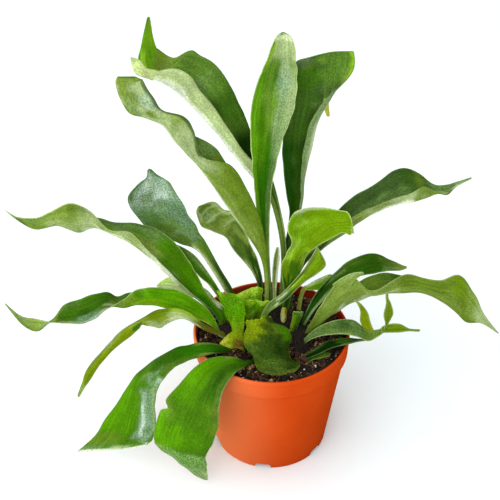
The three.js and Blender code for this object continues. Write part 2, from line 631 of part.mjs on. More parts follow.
// Triangles of a body made of rings between two end points, the first end facing up.
function fanIndices(rings, sides) {
  const at = (ring, k) => 1 + ring * sides + (k % sides);
  const last = 1 + rings * sides;
  const indices = [];
  for (let k = 0; k < sides; k += 1) {
    indices.push(0, at(0, k), at(0, k + 1));
    for (let ring = 0; ring < rings - 1; ring += 1) {
      const [a, b, c, d] = [at(ring, k), at(ring + 1, k), at(ring + 1, k + 1), at(ring, k + 1)];
      indices.push(a, b, c, a, c, d);
    }
    indices.push(last, at(rings - 1, k + 1), at(rings - 1, k));
  }
  return indices;
}

// Rhizome: the knobbly stem that lies across the soil and carries every frond.

const RHIZOME_KNOBS = [
  { at: [-43, 4, 124], radius: 13 },
  { at: [-30, 8, 125], radius: 15 },
  { at: [-14, 15, 125], radius: 16 },
  { at: [3, 22, 126], radius: 18 },
  { at: [17, 15, 125], radius: 17 },
  { at: [27, -1, 125], radius: 14 },
  { at: [28, -15, 123], radius: 11 },
];

// A string of overlapping knobs, a little flattened.
function rhizomeSolid(grow) {
  const knobs = RHIZOME_KNOBS.map(({ at, radius }) => {
    const knob = new THREE.IcosahedronGeometry(radius + grow, 1);
    return solid(knob.scale(1, 1, RHIZOME_FLATNESS).translate(...at));
  });
  return knobs.reduce((body, knob) => body.add(knob));
}

// Foliage

const bladeOptions = (width) => ({ columns: width > WIDE_BLADE ? 6 : 4, thickness: BLADE_THICKNESS });

function widest(rows) {
  const stations = rows.filter((row) => !isPoint(row));
  return Math.max(...stations.map(([left, rib, right]) => distance(left, rib) + distance(rib, right)));
}

function frondOptions(frond) {
  return { ...bladeOptions(widest(frond.rows)), core: PETIOLE_THICKNESS, stalk: frond.stalk };
}

function frondGeometry(frond) {
  const blade = bladeGeometry(frond.rows, frondOptions(frond));
  if (!frond.lobes) return blade;
  const lobes = frond.lobes.map((rows) => solid(bladeGeometry(rows, bladeOptions(0))));
  return geometryOf(mainBody(lobes.reduce((body, lobe) => body.add(lobe), solid(blade))));
}

const shieldOptions = { columns: 6, thickness: SHIELD_THICKNESS };

// Clearance holes for everything that stands in the soil or the rhizome.
function holeTools() {
  const swell = { grow: CLEARANCE, reach: HOLE_REACH };
  const stem = (frond) => bladeGeometry(frond.rows, { ...frondOptions(frond), ...swell });
  const foot = (rows) => bladeGeometry(rows, { ...shieldOptions, ...swell });
  const stems = Object.values(FRONDS).map(stem);
  const feet = Object.values(SHIELDS).map(foot);
  return [...stems, ...feet].map(solid);
}

// Assembly

const material = (colour, roughness) => new THREE.MeshStandardMaterial({ color: colour, roughness, metalness: 0 });

const plastic = material(0xd9541f, 0.45);
const peat = material(0x2b1d16, 0.95);
const root = material(0x4a3423, 0.9);
const leaf = material(0x4d8a1c, 0.55);
const shield = material(0x8a9a1e, 0.6);

const plant = new THREE.Group();

function place(name, geometry, finish) {
  const mesh = new THREE.Mesh(geometry, finish);
  mesh.name = name;
  plant.add(mesh);
}

const tools = holeTools();
const drill = (body) => mainBody(tools.reduce((rest, tool) => rest.subtract(tool), body));

place('pot', potGeometry(), plastic);
place('soil', geometryOf(drill(solid(soilGeometry()).subtract(rhizomeSolid(CLEARANCE * 1.5)))), peat);
place('rhizome', geometryOf(drill(rhizomeSolid(0))), root);
for (const [name, frond] of Object.entries(FRONDS)) place(name, frondGeometry(frond), leaf);
for (const [name, rows] of Object.entries(SHIELDS)) place(name, bladeGeometry(rows, shieldOptions), shield);

export default plant;
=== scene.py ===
"""Looks of a staghorn fern in a round plastic nursery pot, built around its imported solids.

Lengths are millimetres in the object's own frame: +Z up, X to the right, Y away from the viewer, with the
origin at the centre of the pot's underside. They turn into metres where a mesh is made.
"""
import math
import random

import bmesh
import bpy
import numpy as np
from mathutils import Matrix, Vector


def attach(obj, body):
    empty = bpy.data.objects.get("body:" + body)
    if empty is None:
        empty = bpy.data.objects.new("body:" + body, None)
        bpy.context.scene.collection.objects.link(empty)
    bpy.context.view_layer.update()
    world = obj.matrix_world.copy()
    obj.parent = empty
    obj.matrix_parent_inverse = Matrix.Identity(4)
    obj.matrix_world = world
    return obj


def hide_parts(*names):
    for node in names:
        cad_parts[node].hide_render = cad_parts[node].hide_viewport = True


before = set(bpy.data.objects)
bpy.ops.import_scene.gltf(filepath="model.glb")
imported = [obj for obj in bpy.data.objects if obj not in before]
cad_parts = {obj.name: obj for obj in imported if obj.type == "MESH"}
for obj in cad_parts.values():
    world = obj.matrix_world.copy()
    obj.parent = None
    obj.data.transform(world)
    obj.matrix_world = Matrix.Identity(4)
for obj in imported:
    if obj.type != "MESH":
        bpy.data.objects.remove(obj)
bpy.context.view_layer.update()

MM = 0.001

# Pot
POT_HEIGHT = 134
RIM_RADIUS = 76
RIM_BAND = 20
FOOT_RADIUS = 57.7
POT_WALL = 1.8
POT_FLOOR = 2.2
RIM_WALL = 3
BAND_FOOT = POT_HEIGHT - RIM_BAND
SHOULDER_RADIUS = RIM_RADIUS - 3.4
FLOOR_RADIUS = FOOT_RADIUS - POT_WALL - 1.8
POT_SEGMENTS = 192
POT_CREASE = 40  # degrees from which an edge is sharp
DRAIN_HOLES = 6
DRAIN_HOLE_RADIUS = 4.5
DRAIN_HOLE_CIRCLE = 40
FOOT_NOTCHES = 6
FOOT_NOTCH_TURN = -98
FOOT_NOTCH_WIDTH = 16
FOOT_NOTCH_HEIGHT = 6
FOOT_NOTCH_REACH = 6  # how far a notch is cut either side of the foot's radius
POT_TONES = ((188, 64, 16), (198, 71, 20))
# Painted light: a paler orange spread over the pot's left side stands in for light falling there.
POT_PAINTED_LIGHT = (255, 148, 92)
POT_PAINTED_LIGHT_EDGE = 20  # how far to the right the painted light on the left side reaches
POT_PAINTED_LIGHT_STRENGTH = 0.64
# Painted shade: the inside of the wall is a darker red where shade falls in the pot.
POT_INSIDE_SHADE = (112, 22, 10)
POT_INSIDE_SHADE_STRENGTH = 0.8

# Soil and rhizome
SOIL_LEVEL = 124.5
SOIL_RELIEF = 1.1
SOIL_RADIUS = RIM_RADIUS - RIM_WALL - 0.7
SOIL_GAP = 0.3  # between the soil and the pot's floor
SOIL_LUMPS = ((0.9, 7, 401), (0.6, 3.1, 402), (0.35, 1.6, 403))  # height, wavelength and seed
ROOT_STEP = 1.7
ROOT_HEIGHT = 0.7
ROOT_RADII = (0.16, 0.38)
RHIZOME_FLATNESS = 0.8
RHIZOME_CENTRE = (0, 12, 124)
RHIZOME_VOXEL = 1.3
SCALE_LENGTHS = (2.5, 6.5)
SCALE_RADII = (0.14, 0.34)
RHIZOME_KNOBS = [
    ((-43, 4, 124), 13),
    ((-30, 8, 125), 15),
    ((-14, 15, 125), 16),
    ((3, 22, 126), 18),
    ((17, 15, 125), 17),
    ((27, -1, 125), 14),
    ((28, -15, 123), 11),
]

# Tones of the ground on a screen, a dark and a light one, and how fine their pattern is
EARTHS = {
    "soil_dark": ((6, 4, 3), (38, 25, 17), 260.0),
    "soil_crumb": ((5, 4, 3), (86, 56, 36), 300.0),
    "bark_chip": ((120, 84, 52), (196, 160, 112), 200.0),
    "soil_fleck": ((112, 76, 46), (190, 148, 104), 220.0),
    "pale_grit": ((200, 196, 186), (236, 232, 222), 200.0),
    "root_fibre": ((74, 46, 24), (156, 112, 66), 160.0),
    # Partly the rhizome's own brown and partly painted shade: its near-black tones stand for the shade it
    # lies in under the fronds.
    "rhizome_wood_shaded": ((4, 3, 2), (26, 18, 11), 160.0),
    "rhizome_scale": ((30, 20, 10), (116, 80, 46), 200.0),
}

# Foliage
BLADE_THICKNESS = 0.9
PETIOLE_THICKNESS = 4.2
SHIELD_THICKNESS = 1.2
PETIOLE_WIDTH = 5.5
SHIELD_FOOT_WIDTH = 9
MAX_STOUTNESS = 0.7
TIP_WIDTH = 3
ROW_PITCH = 1.5
COLUMN_PITCH = 1.6
MARGIN_ROUND = 0.6  # how far in from its edge a blade has its full thickness
CORNER_ROUND = 1.6
LEAST_RUN = 0.4  # the least half width that a blade is reckoned with
OPEN_WIDTHS = (3, 12)  # half widths between which a stalk turns into an open blade

# The mesh is finer along its edges: distances in from the edge, and the most that each may be of half a width
EDGE_STEPS = np.array([0, 0.15, 0.4, 0.9])
EDGE_SHARES = np.array([0, 0.05, 0.13, 0.24])
EDGE_BAND = 1.6

# How far margins ripple up and down, wander and are nibbled, with the wavelengths of each
FROND_WAVE = 0.35
SHIELD_WAVE = 1.0
RIPPLE_LENGTH = 21
DRIFT = 1.6
DRIFT_LENGTH = 40
WANDER = 0.3
WANDER_LENGTH = 17
SHIELD_RAGGED = 0.7
NIBBLE_LENGTH = 6
DENT = 0.45
DENT_LENGTH = 22
TORN_TIP = 10
TOOTH = 1.6
TOOTH_LENGTHS = (11, 4.5)
FREE_TIP = 12  # near the tip the ripples fade

# The margin's tone covers a rim this wide, fading out between the two, and this strongly. It is partly the
# edge's own paler colour and partly painted light: the pale rim stands for light shining through the thin
# edge.
RIM_WIDTHS = (0.3, 1.2)
RIM_STRENGTH = 0.7

# A stroke of paint has soft borders, which wander along the blade in stations and across it in half widths.
STROKE_GRAIN = (2.2, 3.0)
STROKE_WANDER = (0.22, 0.10)
STROKE_WANDER_LENGTHS = (2.4, 2.0)
STROKE_MOST_SOFT = 0.9
STROKE_MOST_EDGE = 0.16

# Camera: as high above the horizon, as far off and as long as in the photograph
CAMERA_ELEVATION = 35.8
CAMERA_DISTANCE = 852
CAMERA_TARGET = (-20.8, 0, 228.9)
CAMERA_LENS = 67.2
SENSOR = 36

# Light: a white tent that is brightest towards one side, and two lamps (place and aim in metres, size, power)
TENT_BRIGHT_SIDE = (-0.8, -0.5, 0.35)
TENT_DIM = 0.3
TENT_BRIGHT = 1.6
LAMPS = {
    "key": ((-0.8, -2.1, 2.2), (0, 0, 0.2), 2.4, 30),
    "left": ((-2.2, -0.9, 0.9), (0, 0, 0.15), 1.2, 14),
}
FLOOR_TONE = (0.86, 0.93, 0.945, 1)
FLOOR_SIZE = 12

# Every frond is a list of stations from its base to its tip. A station is three points across the blade: its
# left edge, its rib or fold, and its right edge, seen from the base with the upper face up. An end that is
# one point is narrow. stalk is the share of the length that is thick petiole. lobes are small blades of their
# own on the frond.
FRONDS = {
    "frond_tall_centre": {"stalk": 0.42, "rows": [
        [-1, 32, 118],
        [[-4, 34, 145], [-1, 35, 145], [1, 34, 145]],
        [[-8, 42, 193], [-5, 44, 191], [-2, 42, 193]],
        [[-14, 48, 235], [-8, 52, 233], [-2, 48, 235]],
        [[-17, 54, 268], [-9, 59, 266], [1, 54, 273]],
        [[-20, 59, 305], [-6, 66, 303], [9, 60, 309]],
        [[-20, 64, 338], [-1, 72, 336], [19, 66, 339]],
        [[-13, 69, 367], [4, 77, 365], [21, 71, 368]],
        [[-3, 75, 390], [7, 80, 389], [19, 76, 390]],
        [[1, 79, 400], [8, 83, 400], [16, 80, 400]],
        [8, 84, 404],
    ]},
    "frond_tall_right": {"stalk": 0.3, "rows": [
        [17, 43, 118],
        [[14, 48, 145], [18, 50, 143], [21, 48, 145]],
        [[13, 54, 190], [19, 57, 188], [24, 54, 190]],
        [[17, 60, 225], [28, 63, 233], [27, 57, 241]],
        [[12, 64, 262], [30, 69, 261], [27, 62, 268]],
        [[9, 68, 295], [34, 74, 288], [29, 66, 296]],
        [[9, 72, 322], [39, 79, 316], [35, 70, 324]],
        [[10, 77, 345], [47, 85, 337], [49, 76, 344]],
        [[13, 82, 363], [48, 92, 360], [68, 82, 361]],
        [[20, 86, 375], [51, 93, 375], [73, 85, 374]],
        [[31, 88, 378], [52, 91, 382], [72, 87, 385]],
    ], "lobes": [
        [
            [[46, 81, 342], [48.5, 80.5, 342], [51, 81, 342]],
            [[46.5, 80, 334], [49, 79.5, 333], [51.5, 80, 334]],
            [51.5, 80, 323],
        ],
    ]},
    "frond_tall_left": {"stalk": 0.2, "rows": [
        [9, 33, 118],
        [[10, 48, 192], [12, 50, 190], [15, 51, 192]],
        [[-1, 62, 244], [1, 64, 242], [6, 66, 243]],
        [[-13, 70, 274], [-17, 70, 263], [-6, 80, 277]],
        [[-27, 75, 290], [-34, 76, 283], [-17, 88, 296]],
        [[-49, 82, 324], [-59, 84, 315], [-31, 98, 328]],
        [[-66, 86, 347], [-78, 88, 335], [-49, 106, 359]],
        [[-75, 88, 361], [-89, 90, 345], [-67, 110, 371]],
        [[-88, 89, 367], [-100, 92, 352], [-76, 111, 375]],
        [[-104, 91, 364], [-106, 93, 354], [-91, 112, 367]],
        [[-113, 93, 362], [-112, 95, 356], [-105, 112, 376]],
        [[-122, 99, 371], [-117, 100, 369], [-107, 112, 378]],
        [[-118, 103, 388], [-115, 104, 389], [-109, 111, 388]],
        [-112, 111, 407],
    ], "lobes": [
        [
            [[-104, 91, 364], [-103, 92, 358], [-101, 92.5, 352]],
            [[-114, 90, 367], [-113, 90, 362], [-111, 91, 355]],
            [[-120, 88, 376], [-119, 87, 368], [-118, 88, 359]],
            [[-125, 88, 378], [-125, 87.5, 371], [-125, 88, 363]],
            [-128, 88, 377],
        ],
    ]},
    "frond_arching_left": {"stalk": 0.22, "rows": [
        [-6, 21, 118],
        [[-2, 26, 162], [-4, 26, 161], [-6, 29, 161]],
        [[-4, 31, 197], [-8, 32, 195], [-9, 35, 197]],
        [[-10, 36, 235], [-26, 34, 226], [-17, 42, 231]],
        [[-23, 40, 268], [-43, 38, 253], [-30, 48, 263]],
        [[-38, 43, 293], [-59, 42, 279], [-44, 56, 290]],
        [[-64, 47, 300], [-74, 46, 299], [-55, 60, 304]],
        [[-71, 50, 325], [-89, 48, 316], [-76, 64, 315]],
        [[-80, 52, 338], [-99, 50, 330], [-85, 66, 329]],
        [[-98, 54, 343], [-114, 53, 336], [-102, 67, 335]],
        [[-106, 56, 354], [-128, 56, 340], [-113, 70, 342]],
        [[-114, 58, 369], [-136, 61, 352], [-121, 72, 356]],
        [[-116, 60, 370], [-139, 64, 365], [-124, 70, 364]],
        [[-121, 62, 372], [-137, 66, 370], [-127, 70, 368]],
    ]},
    "frond_left_upper": {"stalk": 0.22, "rows": [
        [-46, 8, 118],
        [[-53, 13, 136], [-50, 15, 137], [-48, 17, 138]],
        [[-67, 19, 152], [-68, 22, 153], [-63, 26, 157]],
        [[-81, 22, 165], [-86, 26, 166], [-73, 38, 172]],
        [[-101, 26, 188], [-106, 31, 189], [-86, 46, 193]],
        [[-116, 28, 206], [-124, 36, 204], [-105, 56, 209]],
        [[-133, 34, 224], [-143, 36, 217], [-128, 62, 215]],
        [[-155, 38, 226], [-161, 40, 224], [-154, 62, 218]],
        [[-172, 44, 243], [-173, 42, 224], [-173, 60, 225]],
        [[-190, 44, 251], [-187, 42, 220], [-191, 62, 227]],
        [[-211, 48, 239], [-205, 46, 225], [-211, 58, 226]],
        [[-225, 50, 231], [-226, 48, 219], [-230, 56, 222]],
        [[-243, 50, 232], [-242, 50, 227], [-244, 55, 228]],
        [-254, 52, 238],
    ]},
    "frond_left_inner": {"stalk": 0.3, "rows": [
        [-34, 24, 118],
        [[-57, 30, 159], [-55, 31, 158], [-52, 33, 159]],
        [[-71, 42, 167], [-68, 43, 166], [-63, 46, 170]],
        [[-86, 52, 180], [-83, 53, 180], [-76, 57, 182]],
        [[-98, 58, 191], [-95, 59, 190], [-90, 62, 189]],
        [-102, 62, 193],
    ]},
    "frond_left_silvery": {"stalk": 0.32, "rows": [
        [-35, 35, 118],
        [[-44, 41, 142], [-40, 42, 142], [-36, 42, 144]],
        [[-59, 50, 168], [-55, 51, 169], [-51, 51, 171]],
        [[-73, 58, 186], [-67, 60, 186], [-62, 59, 190]],
        [[-92, 64, 191], [-80, 68, 197], [-71, 65, 204]],
        [[-113, 69, 196], [-96, 75, 207], [-80, 71, 218]],
        [[-130, 72, 213], [-112, 79, 219], [-86, 74, 231]],
        [[-140, 74, 236], [-117, 82, 235], [-95, 77, 245]],
        [[-131, 76, 250], [-117, 82, 249], [-99, 79, 253]],
        [[-121, 79, 257], [-117, 82, 258], [-110, 81, 260]],
        [-118, 82, 266],
    ]},
    "frond_back_left": {"stalk": 0.3, "rows": [
        [-14, 46, 118],
        [[-13, 54, 144], [-10, 55, 144], [-8, 55, 147]],
        [[-21, 64, 159], [-18, 66, 163], [-14, 65, 172]],
        [[-35, 74, 171], [-28, 79, 174], [-21, 76, 183]],
        [[-45, 84, 182], [-37, 91, 186], [-28, 87, 196]],
        [[-59, 94, 185], [-50, 103, 190], [-35, 99, 204]],
        [[-71, 104, 184], [-60, 113, 193], [-47, 110, 201]],
        [[-76, 112, 194], [-67, 118, 197], [-58, 118, 205]],
        [-74, 119, 199],
    ]},
    "frond_left_twisted": {"stalk": 0.12, "rows": [
        [-47, -1, 118],
        [[-50, 1, 131], [-50, 2, 128], [-49, 6, 127]],
        [[-62, 6, 155], [-62, 3, 139], [-63, 12, 138]],
        [[-86, 4, 177], [-83, 0, 153], [-87, 18, 157]],
        [[-108, 2, 184], [-106, -2, 164], [-112, 20, 165]],
        [[-128, 2, 181], [-125, -2, 166], [-135, 20, 164]],
        [[-140, 0, 172], [-143, 1, 161], [-150, 22, 158]],
        [[-158, -2, 160], [-163, 10, 156], [-163, 26, 160]],
        [[-176, -8, 149], [-180, 4, 150], [-184, 24, 154]],
        [[-194, -6, 146], [-199, 4, 146], [-202, 18, 150]],
        [[-212, 0, 143], [-215, 3, 140], [-214, 7, 140]],
        [[-229, 5, 143], [-228, 2, 130], [-233, 14, 130]],
        [[-243, 6, 146], [-242, 4, 136], [-246, 11, 139]],
        [-256, 6, 161],
    ]},
    "frond_left_drooping": {"stalk": 0.3, "rows": [
        [-44, -7, 118],
        [[-46, -9, 131], [-46, -8, 131], [-45, -4, 132]],
        [[-64, -13, 144], [-65, -12, 146], [-64, -7, 146]],
        [[-84, -18, 162], [-87, -15, 166], [-84, -7, 164]],
        [[-105, -24, 158], [-109, -18, 167], [-106, -8, 165]],
        [[-121, -26, 159], [-124, -22, 163], [-122, -12, 157]],
        [[-133, -30, 150], [-139, -28, 155], [-140, -20, 151]],
        [[-148, -34, 139], [-152, -33, 142], [-152, -24, 140]],
        [[-161, -38, 125], [-166, -38, 128], [-164, -26, 126]],
        [[-172, -40, 107], [-177, -40, 112], [-174, -32, 115]],
        [[-180, -42, 95], [-182, -42, 97], [-183, -38, 96]],
        [-187, -42, 84],
    ]},
    "frond_front_left": {"stalk": 0.25, "rows": [
        [-34, -13, 118],
        [[-40, -20, 122], [-41, -21, 126], [-41, -19, 128]],
        [[-61, -42, 138], [-62, -37, 141], [-61, -28, 141]],
        [[-80, -52, 139], [-84, -42, 141], [-83, -32, 141]],
        [[-93, -60, 136], [-102, -50, 139], [-100, -39, 138]],
        [[-102, -66, 127], [-116, -56, 127], [-119, -44, 126]],
        [[-107, -71, 115], [-122, -61, 112], [-134, -48, 110]],
        [[-109, -75, 97], [-122, -66, 96], [-148, -53, 87]],
        [[-110, -78, 80], [-124, -69, 75], [-162, -57, 66]],
        [[-113, -80, 66], [-127, -71, 59], [-172, -60, 49]],
        [[-119, -79, 60], [-134, -72, 45], [-191, -64, 31]],
    ]},
    "frond_front_pot": {"stalk": 0.16, "rows": [
        [-10, -25, 118],
        [[-22, -47, 130], [-23, -47, 133], [-24, -44, 133]],
        [[-33, -66, 139], [-38, -60, 141], [-38, -45, 139]],
        [[-41, -77, 137], [-51, -68, 139], [-55, -48, 141]],
        [[-47, -85, 125], [-61, -78, 128], [-71, -58, 139]],
        [[-49, -90, 112], [-67, -84, 113], [-87, -66, 123]],
        [[-50, -93, 95], [-72, -89, 99], [-101, -73, 106]],
        [[-55, -93, 76], [-79, -91, 82], [-110, -79, 80]],
        [[-62, -91, 56], [-85, -91, 62], [-111, -81, 65]],
        [[-62, -87, 36], [-82, -88, 45], [-107, -80, 55]],
        [[-62, -81, 11], [-67, -81, 11], [-81, -80, 23]],
    ]},
    "frond_right_upper": {"stalk": 0.3, "rows": [
        [21, 28, 118],
        [[18, 36, 154], [19, 35, 152], [22, 35, 151]],
        [[29, 44, 185], [31, 42, 182], [34, 41, 184]],
        [[43, 53, 203], [48, 47, 198], [50, 45, 200]],
        [[64, 66, 228], [67, 54, 207], [66, 52, 220]],
        [[81, 74, 241], [84, 58, 221], [82, 57, 230]],
        [[101, 82, 249], [102, 62, 232], [100, 60, 238]],
        [[117, 88, 259], [119, 66, 238], [117, 64, 244]],
        [[130, 92, 261], [133, 68, 239], [132, 70, 245]],
        [[145, 92, 254], [147, 70, 240], [147, 75, 250]],
        [[159, 86, 246], [161, 76, 242], [160, 77, 244]],
        [[171, 84, 247], [171, 76, 241], [171, 76, 246]],
        [[180, 83, 251], [179, 79, 248], [179, 77, 251]],
        [193, 80, 257],
    ]},
    "frond_young_wide": {"stalk": 0.4, "rows": [
        [12, 21, 118],
        [[12, 24, 161], [16, 26, 161], [21, 24, 165]],
        [[9, 26, 186], [18, 30, 186], [28, 26, 184]],
        [[13, 28, 203], [22, 34, 201], [34, 28, 202]],
        [[18, 28, 216], [29, 36, 211], [42, 26, 214]],
        [[14, 26, 232], [31, 36, 223], [51, 24, 222]],
        [[16, 26, 244], [37, 34, 234], [60, 20, 231]],
        [[23, 28, 254], [46, 30, 244], [65, 17, 236]],
        [[44, 26, 258], [60, 22, 252], [71, 14, 236]],
        [[59, 18, 260], [68, 18, 253], [73, 13, 238]],
        [[67, 14, 261], [71, 13, 254], [75, 12, 238]],
    ]},
    "frond_young_narrow": {"stalk": 0.3, "rows": [
        [-13, -3, 118],
        [[-10, 2, 150], [-7, 2, 149], [-4, 1, 150]],
        [[-2, 6, 163], [2, 6, 159], [6, 4, 160]],
        [[9, 10, 170], [12, 9, 167], [15, 8, 165]],
        [[24, 14, 187], [27, 13, 182], [30, 11, 182]],
        [[32, 17, 198], [38, 18, 192], [41, 13, 190]],
        [[38, 20, 209], [45, 21, 200], [50, 15, 197]],
        [[41, 22, 215], [46, 22, 208], [50, 18, 203]],
        [42, 22, 217],
    ]},
    "frond_right_dark": {"stalk": 0.3, "rows": [
        [31, 8, 118],
        [[28, 9, 125], [29, 8, 126], [31, 6, 126]],
        [[34, 13, 146], [37, 12, 146], [40, 8, 148]],
        [[45, 19, 167], [49, 20, 164], [53, 12, 164]],
        [[60, 27, 181], [62, 24, 176], [67, 16, 177]],
        [[76, 35, 192], [79, 28, 187], [83, 20, 183]],
        [[98, 42, 195], [99, 34, 189], [99, 26, 182]],
        [[116, 44, 186], [114, 37, 183], [111, 30, 182]],
        [[128, 43, 180], [126, 39, 179], [125, 36, 178]],
        [133, 41, 178],
    ]},
    "frond_right_long": {"stalk": 0.1, "rows": [
        [29, -5, 118],
        [[29, 0, 129], [31, -3, 127], [32, -5, 132]],
        [[39, 8, 136], [41, -4, 135], [39, -6, 152]],
        [[50, 14, 152], [55, -4, 153], [47, -8, 173]],
        [[65, 18, 163], [69, -4, 166], [60, -8, 199]],
        [[81, 20, 174], [85, -4, 175], [73, -6, 204]],
        [[94, 22, 183], [98, -4, 180], [91, -8, 188]],
        [[110, 22, 186], [113, -4, 183], [105, -8, 195]],
        [[123, 18, 186], [127, -4, 183], [123, -4, 204]],
        [[143, 13, 179], [144, -4, 181], [139, -5, 201]],
        [[161, 11, 176], [160, -4, 173], [156, -5, 198]],
        [[180, 10, 173], [174, -6, 162], [173, -5, 204]],
        [[195, 7, 161], [186, -6, 149], [189, -5, 183]],
        [[205, 1, 149], [201, -6, 147], [203, -6, 157]],
        [220, -5, 133],
    ], "lobes": [
        [
            [[55, -7.6, 195], [60, -7.2, 190], [66, -6.8, 185]],
            [[65, -10, 206], [69, -10, 200], [72, -10, 195]],
            [[73, -11, 211], [75, -11, 207], [77, -11, 204]],
            [83, -12, 212],
        ],
    ]},
    "frond_right_forked": {"stalk": 0.2, "rows": [
        [28, -14, 118],
        [[29, -12, 128], [30, -14, 127], [31, -16, 128]],
        [[37, -11, 139], [39, -15, 137], [38, -19, 138]],
        [[49, -9, 148], [51, -15, 143], [50, -21, 145]],
        [[65, -8, 153], [66, -16, 148], [65, -21, 146]],
        [[79, -8, 152], [80, -15, 146], [80, -21, 143]],
        [[90, -9, 142], [92, -14, 139], [92, -20, 136]],
        [[101, -12, 144], [102, -14, 141], [101, -18, 140]],
        [[108, -14, 150], [109, -14, 147], [108, -17, 146]],
    ], "lobes": [
        [
            [[106, -16, 147], [108, -15, 147], [109, -15, 148]],
            [[107, -17, 155], [108, -16, 154], [110, -16, 154]],
            [[104, -19, 168], [109, -17, 166], [113, -19, 169]],
            [[105, -20, 182], [108, -18, 180], [110, -20, 181]],
            [[104, -20, 189], [106, -19, 188], [107, -20, 188]],
            [105, -20, 194],
        ],
        [
            [[104, -14, 149], [104, -15, 146], [104, -18, 145]],
            [[112, -13, 152], [112, -15, 147], [112, -19, 146]],
            [[122, -12, 151], [122, -15, 148], [121, -19, 146]],
            [[131, -14, 147], [131, -15, 146], [130, -17, 146]],
            [141, -16, 146],
        ],
        [
            [[90, -10, 141], [94, -12, 142], [98, -13, 143]],
            [[84, -10, 152], [90, -12, 152], [94, -13, 153]],
            [[83, -12, 167], [86, -14, 167], [90, -15, 167]],
            [[79, -15, 178], [82, -16, 178], [84, -16, 177]],
            [77, -16, 183],
        ],
    ]},
    "frond_right_low": {"stalk": 0.2, "rows": [
        [27, -27, 118],
        [[30, -30, 127], [32, -31, 125], [31, -34, 125]],
        [[40, -24, 130], [44, -30, 131], [43, -35, 133]],
        [[54, -18, 135], [58, -24, 136], [59, -30, 137]],
        [[71, -15, 136], [72, -21, 137], [73, -27, 139]],
        [[82, -14, 134], [83, -17, 135], [85, -21, 137]],
        [91, -16, 134],
    ]},
    "frond_small_right": {"stalk": 0.3, "rows": [
        [27, 35, 118],
        [[30, 46, 145], [32, 45, 144], [33, 43, 145]],
        [[38, 52, 149], [40, 50, 146], [41, 46, 146]],
        [[48, 58, 151], [50, 56, 146], [51, 50, 144]],
        [[57, 62, 153], [58, 60, 151], [59, 58, 150]],
        [63, 64, 151],
    ]},
    "frond_small_left": {"stalk": 0.2, "rows": [
        [-44, 16, 118],
        [[-47, 15, 129], [-45, 16, 130], [-42, 16, 131]],
        [[-53, 20, 140], [-49, 21, 139], [-44, 21, 139]],
        [[-58, 24, 148], [-54, 25, 146], [-48, 25, 144]],
        [-59, 26, 153],
    ]},
    "frond_left_hidden": {"stalk": 0.25, "rows": [
        [-42, 27, 118],
        [[-63, 34, 143], [-63, 35, 147], [-62, 38, 151]],
        [[-83, 40, 141], [-82, 42, 147], [-80, 46, 154]],
        [[-99, 46, 138], [-97, 48, 147], [-94, 52, 158]],
        [[-109, 49, 140], [-109, 51, 147], [-105, 54, 155]],
        [-115, 52, 147],
    ]},
    "frond_small_front": {"stalk": 0.3, "rows": [
        [30, -38, 118],
        [[39, -33, 127], [38, -35, 128], [37, -38, 127]],
        [[45, -27, 129], [45, -31, 129], [45, -36, 128]],
        [[51, -27, 129], [51, -31, 129], [51, -34, 128]],
        [56, -30, 128],
    ]},
    "frond_unrolling": {"stalk": 0.6, "rows": [
        [3, 23, 118],
        [[2, 30, 149], [3, 31, 148], [5, 30, 149]],
        [[1, 34, 174], [4, 36, 173], [6, 34, 174]],
        [[2, 38, 192], [5, 40, 192], [8, 38, 192]],
        [6, 41, 203],
    ]},
    "frond_bud": {"stalk": 1, "rows": [
        [11, 7, 118],
        [[10, 8, 130], [12, 8, 129], [15, 8, 130]],
        [[9, 12, 141], [12, 11, 141], [15, 12, 141]],
        [[10, 14, 149], [12, 14, 150], [15, 14, 149]],
    ]},
}

# The shield fronds, which clasp the rhizome and rest on the soil, are read the same way, from their foot up.
SHIELDS = {
    "shield_front": [
        [[-8, -54, 128], [4, -57, 127], [21, -52, 126]],
        [[-14, -50, 131], [2, -58, 139], [26, -46, 131]],
        [[-19, -44, 138], [-2, -56, 150], [17, -43, 134]],
        [[-25, -38, 146], [-4, -52, 157], [15, -37, 141]],
        [[-26, -30, 154], [-6, -46, 164], [18, -30, 149]],
        [[-25, -26, 160], [-9, -40, 170], [13, -26, 155]],
        [[-24, -22, 165], [-13, -32, 174], [-2, -20, 168]],
    ],
    "shield_yellow": [
        [-25, -10, 118],
        [[-27, -34, 137], [-25, -33, 144], [-25, -26, 149]],
        [[-34, -35, 140], [-32, -37, 151], [-30, -25, 153]],
        [[-41, -34, 141], [-38, -36, 152], [-37, -24, 152]],
        [-48, -30, 143],
    ],
    "shield_upright": [
        [-32, -12, 118],
        [[-38, -6, 141], [-32, -9, 144], [-26, -8, 150]],
        [[-44, 0, 152], [-34, -4, 158], [-25, -4, 159]],
        [[-49, 8, 161], [-37, 4, 167], [-27, 4, 166]],
        [[-53, 14, 170], [-41, 10, 170], [-31, 8, 171]],
    ],
    "shield_back": [
        [[-24, 30, 124], [-14, 28, 124], [-6, 30, 124]],
        [[-31, 34, 143], [-20, 30, 145], [-9, 34, 143]],
        [[-33, 38, 146], [-21, 36, 153], [-8, 38, 151]],
        [[-32, 40, 146], [-21, 39, 153], [-9, 40, 154]],
    ],
    "shield_middle": [
        [[-22, 6, 124], [-14, 3, 124], [-4, 6, 124]],
        [[-25, 8, 143], [-19, 4, 145], [-10, 8, 144]],
        [[-28, 14, 149], [-17, 10, 152], [-5, 14, 150]],
        [[-29, 18, 154], [-16, 16, 157], [-1, 18, 155]],
    ],
    "shield_right": [
        [[16, -6, 124], [19, -8, 124], [22, -6, 124]],
        [[18, 0, 135], [21, -3, 135], [25, 0, 137]],
        [[20, 4, 143], [24, 1, 145], [29, 4, 145]],
        [[21, 8, 149], [26, 6, 151], [31, 8, 149]],
    ],
}
